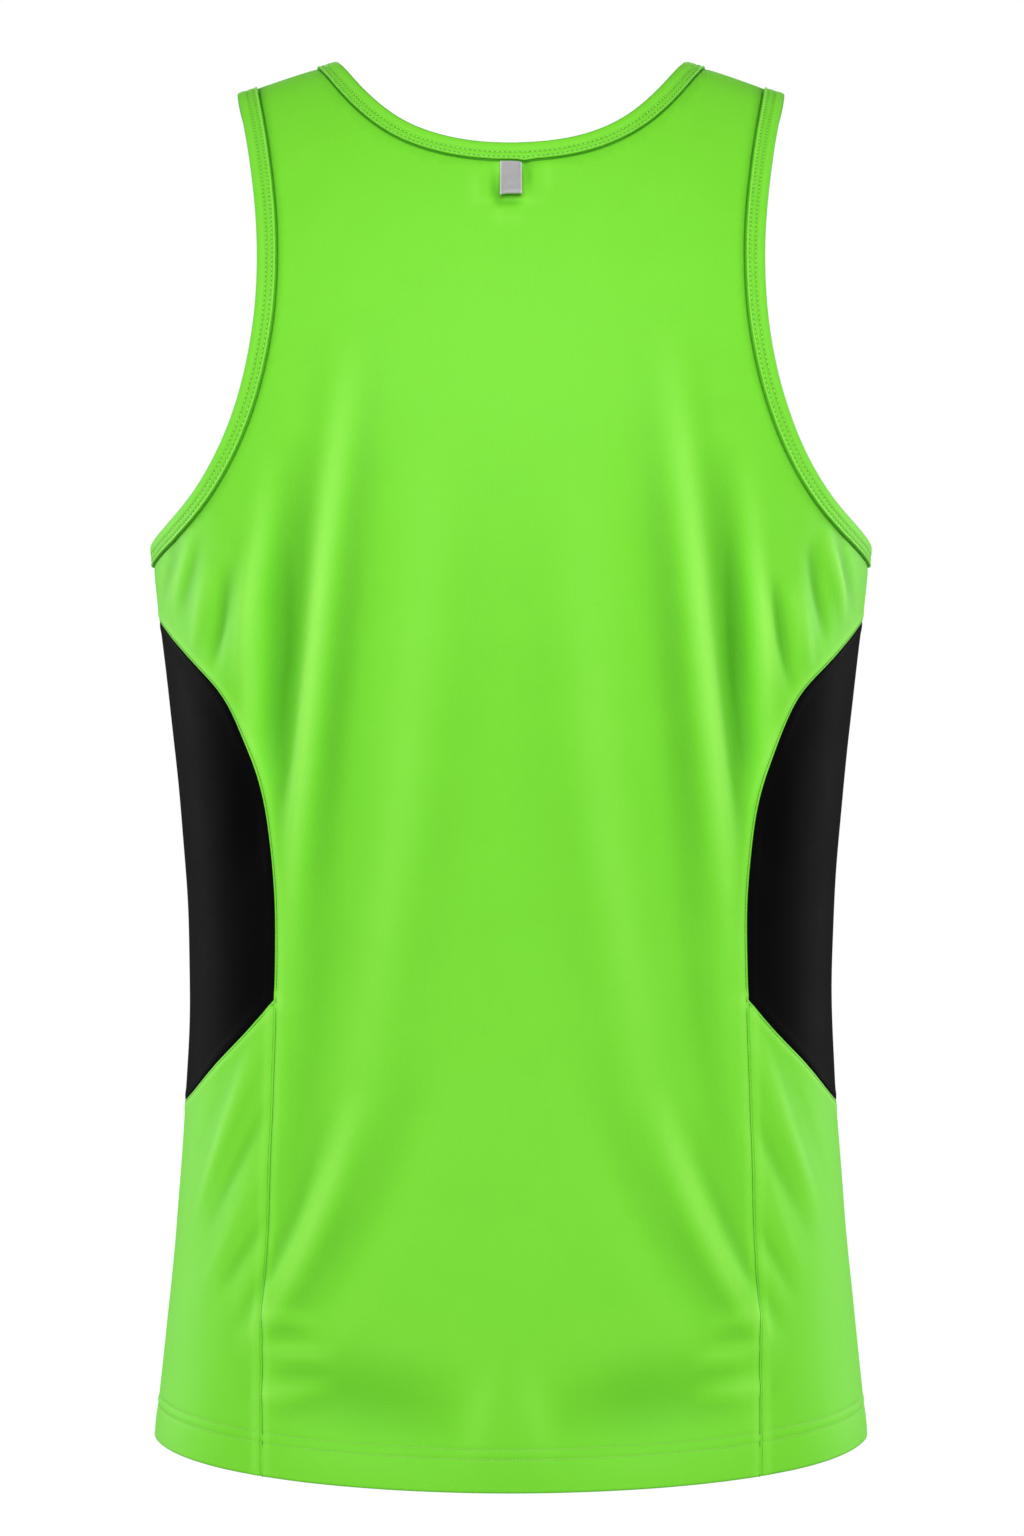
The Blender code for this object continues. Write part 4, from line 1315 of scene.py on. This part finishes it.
def make_side_panels(lime, black):
    to_side = (-90, 0)
    insert = joined(SEAMS["insert_edge"], SEAMS["insert_foot"]) + to_side
    below = joined(
        SEAMS["insert_foot"][::-1], SEAMS["hem_seam"], level_line(HEM_SEAM_TURN, 90.0)
    ) + to_side
    for hand, lay in (("left", on_left_side), ("right", on_right_side)):
        lines = {"insert_edge": False, "insert_foot": False}
        name = f"side_upper_{hand}"
        piece = make_panel(f"{name}_knit", whole_outline(insert), lay, lines, None, black)
        dress(piece, [name])
        lines = {"insert_foot": True, "hem_seam": False}
        name = f"side_lower_{hand}"
        piece = make_panel(f"{name}_knit", whole_outline(below), lay, lines, None, lime)
        dress(piece, [name])


# Stitch rows of the bindings, by their distance from the folded edge.
NECK_ROWS = (0.0062, 0.0089)
ARM_ROWS = (0.0055, 0.0086)

# The folded strip: how far its fold reaches in, how deep and wide a stitch row's channel is, how
# the cloth is full between the channels, and where its lip stands up beside the panel.
BINDING_FOLD = 0.0017
FOLD_SIDES = 8
BINDING_SINK = 0.00035
CHANNEL = 0.0006
CHANNEL_FLANK = 0.4
FIRST_FLANK = 0.3
FULL_BY_FOLD = 0.0001
FULL_BETWEEN = 0.00004
BINDING_LIP = 0.00022
LIP_FROM = 0.0003
LIP_TO = 0.0008
BINDING_EDGE = 0.0005
EDGE_BULGE = 0.00003
EDGE_BULGE_AT = 0.75

# How close the strip comes to the panel, and how much further its inner ply stands off.
BINDING_UNDER = 0.00004
INNER_STANDS_OFF = 0.0005

# Painted shade and highlight on the strip, from the height of each row: a factor on that height, and a
# limit to the painted shade.
BINDING_SHADE = 6.0
BINDING_DEEPEST = -0.0024


def binding_section(rows, high, low, under):
    """Corners of the folded strip: width into the cloth, and height above the panel's face.

    High is the outer face above the panel, low the inner face, and under the panel's inner face.
    """
    first, second = rows
    middle = (high + low) / 2
    half = (high - low) / 2
    fold = []
    for angle in np.radians(np.linspace(90, 270, 2 * FOLD_SIDES + 1)):
        fold.append((BINDING_FOLD * (1 + math.cos(angle)), middle + half * math.sin(angle)))
    side = CHANNEL / 2
    inner = [
        (first - CHANNEL, low),
        (first, low + BINDING_SINK),
        ((first + second) / 2, low),
        (second, low + BINDING_SINK),
        (BINDING_WIDTH - CHANNEL, low),
        (BINDING_WIDTH, low + 2 * CHANNEL / 3),
        (BINDING_WIDTH - side, -under - BINDING_UNDER),
        (TUCK - PANEL_GAP, -under - BINDING_UNDER),
        (TUCK - PANEL_GAP, BINDING_UNDER),
        (BINDING_WIDTH - side, BINDING_UNDER),
    ]
    face = [
        (BINDING_WIDTH, BINDING_EDGE),
        (BINDING_WIDTH + EDGE_BULGE, high * EDGE_BULGE_AT),
        (BINDING_WIDTH - LIP_FROM, high + BINDING_LIP),
        (BINDING_WIDTH - LIP_TO, high + BINDING_LIP),
        (second + side, high - BINDING_SINK * CHANNEL_FLANK),
        (second, high - BINDING_SINK),
        (second - side, high - BINDING_SINK * CHANNEL_FLANK),
        ((first + second) / 2, high + FULL_BETWEEN),
        (first + side, high - BINDING_SINK * CHANNEL_FLANK),
        (first, high - BINDING_SINK),
        (first - side, high - BINDING_SINK * FIRST_FLANK),
        (first - 3 * CHANNEL, high + FULL_BY_FOLD),
    ]
    return fold + inner + face


def make_binding(name, edge, hand, rows, material):
    """A strip folded over a bound edge, all the way round it."""
    cloth = bpy.context.scene.singlet_cloth
    high = cloth.binding_puff
    section = binding_section(rows, high, -high - INNER_STANDS_OFF, cloth.thickness)
    rings = []
    maps = []
    painted_shading = []
    for width, height in section:
        places = on_one_face(edge.inside(width)) * (hand, 1)
        rings.append(skin(places) + outward(places) * height)
        maps.append(np.stack([np.full(len(edge.run), width), edge.run], axis=1))
        # Rows above the face get a painted highlight, rows below it painted shade.
        stands = BINDING_SHADE * (height - high)
        painted_shading.append(np.full(len(edge.run), max(stands, BINDING_DEEPEST)))
    faces = ring_faces(len(rings), len(edge.places))
    points = np.concatenate(rings)
    made = mesh_object(name, points, faces, material, np.concatenate(maps), np.concatenate(painted_shading))
    run_on(made.data, len(edge.places), edge.run[-1] + BINDING_STEP)
    return made


def run_on(mesh, stations, length):
    """Lets the map of a ring's last faces run on to the ring's full length."""
    layer = mesh.uv_layers[0].data
    for face in list(mesh.polygons)[stations - 1 :: stations]:
        for corner in face.loop_indices:
            if mesh.loops[corner].vertex_index % stations == 0:
                layer[corner].uv[1] = length


def make_bindings():
    neck = make_binding("neck_binding_knit", NECK, 1, NECK_ROWS, lime_binding("neck_knit", NECK_ROWS))
    dress(neck, ["neck_binding"])
    material = lime_binding("armhole_knit", ARM_ROWS)
    for hand, side in (("right", 1), ("left", -1)):
        node = f"armhole_binding_{hand}"
        piece = make_binding(f"{node}_knit", ARM, side, ARM_ROWS, material)
        dress(piece, [node])


# The tab is a folded tape. It lifts off the back towards its foot, with a slight bow.
TAB_LENGTH = 0.0176
TAB_PLY = 0.00028
TAB_BELOW_BINDING = 0.0010
TAB_CLEAR = 0.0004
TAB_PLIES_AT_TOP = 0.0004
TAB_LIFT = 0.0038
TAB_CURL = 2.2
TAB_BOW = 0.0006
TAB_FOLD = 0.0005
TAB_ROWS = 26
TAB_FOLD_ROWS = 8
TAB_COLUMNS = 22
METRES_PER_DEGREE_AT_TAB = 0.0037


def tab_path(top):
    """Downs and heights along the folded tape: down its outer ply, round the fold and back up."""
    reached = np.linspace(0, 1, TAB_ROWS + 1)
    down = top + reached * TAB_LENGTH
    stand = TAB_LIFT * reached**TAB_CURL + TAB_BOW * np.sin(np.pi * reached) ** 2
    between = TAB_PLIES_AT_TOP + (2 * TAB_FOLD - TAB_PLIES_AT_TOP) * reached
    outer = np.stack([down, stand + between], axis=1)
    inner = np.stack([down, stand], axis=1)[::-1]
    angle = np.linspace(0, np.pi, TAB_FOLD_ROWS + 1)[1:-1]
    middle = (outer[-1] + inner[0]) / 2
    fold = middle + TAB_FOLD * np.stack([np.sin(angle), np.cos(angle)], axis=1)
    return np.concatenate([outer, fold, inner])


def make_neck_tab(material):
    """The folded satin tape under the neck binding, with nothing printed on it."""
    top = NECK.inside(BINDING_WIDTH)[0, 1] + TAB_BELOW_BINDING
    path = tab_path(top)
    run = running(np.linalg.norm(np.diff(path, axis=0), axis=1))
    slope = unit(np.gradient(path, axis=0))
    side = np.stack([-slope[:, 1], slope[:, 0]], axis=1)
    across = np.linspace(-0.5, 0.5, TAB_COLUMNS + 1) * TAB_WIDTH
    rows = len(path)
    columns = len(across)
    faces_of = []
    for ply in (0.5, -0.5):
        line = path + side * TAB_PLY * ply
        downs = np.repeat(line[:, 0], columns)
        heights = np.repeat(line[:, 1], columns)
        turns = np.tile(across, rows) / METRES_PER_DEGREE_AT_TAB
        places = np.stack([turns, downs], axis=1)
        faces_of.append(skin(places) + outward(places) * (heights + TAB_CLEAR)[:, None])
    triangles = []
    for i in range((rows - 1) * columns):
        if (i + 1) % columns:
            triangles += [(i, i + columns, i + columns + 1), (i, i + columns + 1, i + 1)]
    maps = np.stack([np.tile(across, rows), np.repeat(run, columns)], axis=1)
    tab = wall("neck_tab_satin", faces_of[0], faces_of[1], triangles, material, maps)
    dress(tab, ["neck_tab"])


# ---------------------------------------------------------------------------------------------
# Stitches
# ---------------------------------------------------------------------------------------------

STITCH_INPUTS = (
    ("Pitch", "NodeSocketFloat"),
    ("Length", "NodeSocketFloat"),
    ("Width", "NodeSocketFloat"),
    ("Height", "NodeSocketFloat"),
    ("Slant", "NodeSocketFloat"),
    ("Seed", "NodeSocketInt"),
    ("Thread", "NodeSocketMaterial"),
)
UP = "up"
STITCH_SMALLEST = (0.90, 0.85, 0.85)
STITCH_LARGEST = (1.06, 1.15, 1.15)

# A kind of stitch: the share of the pitch that it covers, its flatness and its slant in radians.
Stitch = namedtuple("Stitch", "share flatness slant")
BINDING_STITCH = Stitch(0.78, 0.55, 0.0)
HEM_STITCH = Stitch(0.85, 0.80, 0.30)
SEAM_STITCH = Stitch(0.80, 0.60, 0.0)

# A needle hole, a dark blob that paints the shade in the hole, as shares of a stitch's width and height.
HOLE_WIDTH = 1.2
HOLE_HEIGHT = 0.9


def stitch_tree():
    """Geometry nodes that lay stitches along the lines of a mesh, tangent to them."""
    tree = bpy.data.node_groups.new("Stitches along lines", "GeometryNodeTree")
    tree.interface.new_socket("Lines", in_out="INPUT", socket_type="NodeSocketGeometry")
    for name, kind in STITCH_INPUTS:
        tree.interface.new_socket(name, in_out="INPUT", socket_type=kind)
    tree.interface.new_socket("Stitches", in_out="OUTPUT", socket_type="NodeSocketGeometry")
    graph = Graph(tree)
    given = graph.node("NodeGroupInput").outputs
    curve = graph.node("GeometryNodeMeshToCurve", inputs={"Mesh": given["Lines"]})
    stations = graph.node(
        "GeometryNodeResampleCurve",
        {"mode": "LENGTH"},
        {"Curve": curve.outputs[0], "Length": given["Pitch"]},
    )
    up = graph.node("GeometryNodeInputNamedAttribute", {"data_type": "FLOAT_VECTOR"}, {"Name": UP})
    tangent = graph.node("GeometryNodeInputTangent")
    along = graph.node(
        "FunctionNodeAxesToRotation",
        {"primary_axis": "Z", "secondary_axis": "X"},
        {"Primary Axis": up.outputs[0], "Secondary Axis": tangent.outputs[0]},
    )
    euler = graph.node("ShaderNodeCombineXYZ", inputs={"Z": given["Slant"]})
    slant = graph.node("FunctionNodeEulerToRotation", inputs={"Euler": euler.outputs[0]})
    turned = graph.node(
        "FunctionNodeRotateRotation",
        {"rotation_space": "LOCAL"},
        {"Rotation": along.outputs[0], "Rotate By": slant.outputs[0]},
    )
    ball = graph.node("GeometryNodeMeshIcoSphere", inputs={"Radius": 0.5, "Subdivisions": 1})
    size = graph.node(
        "ShaderNodeCombineXYZ",
        inputs={"X": given["Length"], "Y": given["Width"], "Z": given["Height"]},
    )
    stitch = graph.node(
        "GeometryNodeTransform", inputs={"Geometry": ball.outputs[0], "Scale": size.outputs[0]}
    )
    change = graph.node(
        "FunctionNodeRandomValue",
        {"data_type": "FLOAT_VECTOR"},
        {0: STITCH_SMALLEST, 1: STITCH_LARGEST, "Seed": given["Seed"]},
    )
    placed = graph.node(
        "GeometryNodeInstanceOnPoints",
        inputs={
            "Points": stations.outputs[0],
            "Instance": stitch.outputs[0],
            "Rotation": turned.outputs[0],
            "Scale": change.outputs[0],
        },
    )
    smooth = graph.node("GeometryNodeSetShadeSmooth", inputs={"Geometry": placed.outputs[0]})
    real = graph.node("GeometryNodeRealizeInstances", inputs={"Geometry": smooth.outputs[0]})
    painted = graph.node(
        "GeometryNodeSetMaterial",
        inputs={"Geometry": real.outputs[0], "Material": given["Thread"]},
    )
    graph.node("NodeGroupOutput", inputs={0: painted.outputs[0]})
    return tree


def sewn_row(places, height):
    """A row of stitches on the cloth: its points and the directions that are up there."""
    normal = outward(places)
    return skin(places) + normal * height, normal


def trimmed(row, distance):
    """A row without a stretch at either end."""
    points, normal = row
    run = running(np.linalg.norm(np.diff(points, axis=0), axis=1))
    ends = distance, run[-1] - distance
    at = np.concatenate([ends[:1], run[(run > ends[0]) & (run < ends[1])], ends[1:]])
    return read_off(points, run, at), read_off(normal, run, at)


def lines_object(name, rows):
    """Lines in one mesh, with the up direction of each point."""
    points = np.concatenate([row[0] for row in rows])
    normal = np.concatenate([row[1] for row in rows])
    edges = []
    start = 0
    for row in rows:
        edges += [(start + i, start + i + 1) for i in range(len(row[0]) - 1)]
        start += len(row[0])
    mesh = bpy.data.meshes.new(name)
    mesh.from_pydata(points.tolist(), edges, [])
    up = mesh.attributes.new(UP, "FLOAT_VECTOR", "POINT")
    up.data.foreach_set("vector", normal.astype(np.float32).ravel())
    return in_scene(name, mesh)


def stitched(name, rows, tree, **values):
    """The stitches along rows as a plain mesh object."""
    lines = lines_object(f"{name}_lines", rows)
    modifier = lines.modifiers.new("Stitches", "NODES")
    modifier.node_group = tree
    for item in tree.interface.items_tree:
        if item.in_out == "INPUT" and item.name in values:
            modifier[item.identifier] = values[item.name]
    graph = bpy.context.evaluated_depsgraph_get()
    mesh = bpy.data.meshes.new_from_object(lines.evaluated_get(graph))
    mesh.name = name
    made = in_scene(name, mesh)
    spare = lines.data
    bpy.data.objects.remove(lines)
    bpy.data.meshes.remove(spare)
    return made


def sew(name, rows, tree, pitch, kind, threads):
    """Stitches along rows, with a needle hole between each stitch and the next: a dark blob that paints
    the shade in the hole.
    """
    sewing = bpy.context.scene.singlet_thread
    thick = sewing.width * kind.flatness
    hole = sewing.width * HOLE_WIDTH
    stitches = stitched(
        name, rows, tree, Pitch=pitch, Length=pitch * kind.share, Width=sewing.width, Height=thick,
        Slant=kind.slant, Seed=sewing.seed, Thread=threads[0],
    )
    holes = stitched(
        f"{name}_holes", [trimmed(row, pitch / 2) for row in rows], tree, Pitch=pitch, Length=hole,
        Width=hole, Height=thick * HOLE_HEIGHT, Slant=0.0, Seed=sewing.seed, Thread=threads[1],
    )
    for piece in (stitches, holes):
        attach(piece, BODY)


STITCH_LIFT = 0.00008
# The neck rows start at the binding's join, so many places before the ring does.
NECK_JOIN = 7
# How much the lime is darkened for the painted shade in the hem's needle holes.
HEM_HOLE_SHADE = 0.5


def binding_rows(edge, hand, rows, join=0):
    """Rows all round a bound edge, which start some places before its ring does."""
    height = bpy.context.scene.singlet_cloth.binding_puff - BINDING_SINK + STITCH_LIFT
    half_pitch = bpy.context.scene.singlet_thread.binding_pitch / 2
    found = []
    for width in rows:
        ring = np.roll(on_one_face(edge.inside(width)), join, axis=0) * (hand, 1)
        row = sewn_row(np.concatenate([ring, ring[:1]]), height)
        found.append(trimmed(row, half_pitch))
    return found


def seam_rows():
    """Rows beside the seams of all four quarters."""
    height = seam_height(np.array(TOPSTITCH), True) + STITCH_LIFT
    down_the_side = joined(SEAMS["insert_edge"], even_steps(SEAMS["hem_seam"]))
    rows = []
    for line in (down_the_side, SEAMS["insert_foot"]):
        for copy in quarters(beside(line, TOPSTITCH)):
            rows.append(sewn_row(copy, height))
    return rows


def hem_rows():
    thickness = bpy.context.scene.singlet_cloth.thickness
    return [
        sewn_row(level_line(-180.0, 180.0, above), hem_height(np.array(above), thickness) + STITCH_LIFT)
        for above in HEM_STITCH_ROWS
    ]


def make_stitches():
    colours = bpy.context.scene.singlet_colours
    sewing = bpy.context.scene.singlet_thread
    light = thread("lime_thread", colours.thread)
    # Thread darkened as painted shade: the sunk seam stitches and the shade in needle holes.
    deep = thread("lime_thread_in_shade", colours.thread_in_shade)
    # The hem's needle holes: the lime darkened as painted shade.
    shaded = thread("lime_hole_shade", [channel * HEM_HOLE_SHADE for channel in colours.lime])
    tree = stitch_tree()
    for name, rows in (
        ("neck_stitches", binding_rows(NECK, 1, NECK_ROWS, NECK_JOIN)),
        ("armhole_stitches_right", binding_rows(ARM, 1, ARM_ROWS)),
        ("armhole_stitches_left", binding_rows(ARM, -1, ARM_ROWS)),
    ):
        sew(name, rows, tree, sewing.binding_pitch, BINDING_STITCH, [light, deep])
    rows = hem_rows()
    sew("hem_stitches", rows, tree, sewing.hem_pitch, HEM_STITCH, [light, shaded])
    rows = seam_rows()
    sew("seam_stitches", rows, tree, sewing.seam_pitch, SEAM_STITCH, [deep, deep])


# ---------------------------------------------------------------------------------------------
# Studio
# ---------------------------------------------------------------------------------------------

Softbox = namedtuple("Softbox", "name x y z width height power")
SOFTBOXES = (
    Softbox("key_back", 0.0, -1.7, 0.40, 1.4, 0.7, 28.2),
    Softbox("rim_left", -2.2, 1.2, 0.0, 0.7, 1.8, 36.0),
    Softbox("rim_right", 2.2, 1.2, 0.0, 0.7, 1.8, 36.0),
    Softbox("side_left", -2.9, -0.4, 0.0, 0.7, 1.8, 15.0),
    Softbox("side_right", 2.9, -0.4, 0.0, 0.7, 1.8, 15.0),
    Softbox("key_front", 0.0, 2.8, 0.9, 1.2, 1.0, 26.0),
)
BOX_TARGET = Vector((0.0, 0.0, -0.36))
FLOOR_RADIUS = 1.6
FLOOR_BELOW = 0.60
FLOOR_SIDES = 96
FLOOR_CLOUDS = 3.0
FLOOR_TONES = ((0.84, 0.84, 0.84, 1.0), (0.87, 0.87, 0.87, 1.0))
PAGE_WHITE = 1.0
CAMERA_SENSOR = 36.0
CAMERA_X = 0.0005


def make_softboxes(strength):
    for box in SOFTBOXES:
        light = bpy.data.lights.new(box.name, "AREA")
        light.shape = "RECTANGLE"
        light.size = box.width
        light.size_y = box.height
        light.energy = box.power * strength
        lamp = in_scene(box.name, light)
        lamp.visible_camera = False
        lamp.location = (box.x, box.y, box.z)
        to_target = BOX_TARGET - lamp.location
        lamp.rotation_euler = to_target.to_track_quat("-Z", "Y").to_euler()


def make_world(ambient):
    """A white page behind the singlet, and weaker even light from all round on it."""
    world = bpy.data.worlds.new("white_studio")
    world.use_nodes = True
    bpy.context.scene.world = world
    graph = Graph(world.node_tree)
    path = graph.node("ShaderNodeLightPath")
    seen = Wire(graph, path.outputs["Is Camera Ray"])
    background = world.node_tree.nodes["Background"]
    background.inputs["Color"].default_value = (1.0, 1.0, 1.0, 1.0)
    graph.feed(background.inputs["Strength"], ambient + seen * (PAGE_WHITE - ambient))


def make_floor():
    mesh = bpy.data.meshes.new("studio_floor")
    shape = bmesh.new()
    bmesh.ops.create_circle(shape, cap_ends=True, radius=FLOOR_RADIUS, segments=FLOOR_SIDES)
    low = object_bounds()[0].z - FLOOR_BELOW
    bmesh.ops.translate(shape, verts=shape.verts, vec=(0.0, 0.0, low))
    shape.to_mesh(mesh)
    shape.free()
    finish = Finish("pale_floor", Roughness=0.6)
    finish.set("Base Color", finish.mix(finish.noise(FLOOR_CLOUDS), *FLOOR_TONES))
    mesh.materials.append(finish.material)
    in_scene("studio_floor", mesh)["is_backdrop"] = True


def make_camera(studio):
    data = bpy.data.cameras.new("camera")
    camera = in_scene("camera", data)
    camera.location = (CAMERA_X, -studio.distance, studio.camera_height)
    camera.rotation_euler = (math.pi / 2, 0.0, 0.0)
    data.sensor_width = CAMERA_SENSOR
    data.lens = CAMERA_SENSOR * studio.distance / studio.frame_height
    bpy.context.scene.camera = camera


# ---------------------------------------------------------------------------------------------
# Operators and panel
# ---------------------------------------------------------------------------------------------


class SINGLET_OT_stage(bpy.types.Operator):
    """Set up the camera, the softboxes, the white page and the floor"""

    bl_idname = "singlet.stage"
    bl_label = "Studio"

    def execute(self, context):
        studio = context.scene.singlet_studio
        context.scene.view_settings.view_transform = "Standard"
        make_camera(studio)
        make_softboxes(studio.light)
        make_world(studio.ambient)
        make_floor()
        return {"FINISHED"}


class SINGLET_OT_panels(bpy.types.Operator):
    """Make the back, the front, the black inserts and the lower side panels"""

    bl_idname = "singlet.panels"
    bl_label = "Knit panels"

    def execute(self, context):
        lime = lime_knit().material
        make_body_panels(lime)
        make_side_panels(lime, black_knit().material)
        return {"FINISHED"}


class SINGLET_OT_bindings(bpy.types.Operator):
    """Make the folded bindings of the neck and the armholes"""

    bl_idname = "singlet.bindings"
    bl_label = "Bindings"

    def execute(self, context):
        make_bindings()
        return {"FINISHED"}


class SINGLET_OT_neck_tab(bpy.types.Operator):
    """Make the blank satin tab under the neck binding"""

    bl_idname = "singlet.neck_tab"
    bl_label = "Neck tab"

    def execute(self, context):
        make_neck_tab(grey_satin())
        return {"FINISHED"}


class SINGLET_OT_stitches(bpy.types.Operator):
    """Sew the rows of stitches on the bindings, the hem and the seams"""

    bl_idname = "singlet.stitches"
    bl_label = "Stitches"

    def execute(self, context):
        make_stitches()
        return {"FINISHED"}


class SINGLET_PT_sidebar(bpy.types.Panel):
    """The singlet's pieces and settings"""

    bl_idname = "SINGLET_PT_sidebar"
    bl_label = "Singlet"
    bl_space_type = "VIEW_3D"
    bl_region_type = "UI"
    bl_category = "Singlet"

    def draw(self, context):
        layout = self.layout
        for operator in OPERATORS:
            layout.operator(operator.bl_idname)
        for holder in SETTINGS:
            box = layout.box()
            settings = getattr(context.scene, holder)
            for name in settings.bl_rna.properties.keys():
                if name not in ("rna_type", "name"):
                    box.prop(settings, name)


OPERATORS = (
    SINGLET_OT_panels,
    SINGLET_OT_bindings,
    SINGLET_OT_neck_tab,
    SINGLET_OT_stitches,
    SINGLET_OT_stage,
)
SETTINGS = {
    "singlet_cloth": SingletCloth,
    "singlet_thread": SingletThread,
    "singlet_colours": SingletColours,
    "singlet_studio": SingletStudio,
}


def register():
    for kind in (*SETTINGS.values(), *OPERATORS, SINGLET_PT_sidebar):
        bpy.utils.register_class(kind)
    for name, kind in SETTINGS.items():
        setattr(bpy.types.Scene, name, PointerProperty(type=kind))


def unregister():
    for name in SETTINGS:
        delattr(bpy.types.Scene, name)
    for kind in (SINGLET_PT_sidebar, *reversed(OPERATORS), *SETTINGS.values()):
        bpy.utils.unregister_class(kind)


def main():
    register()
    bpy.ops.singlet.panels()
    bpy.ops.singlet.bindings()
    bpy.ops.singlet.neck_tab()
    bpy.ops.singlet.stitches()
    bpy.ops.singlet.stage()


if __name__ == "__main__":
    main()
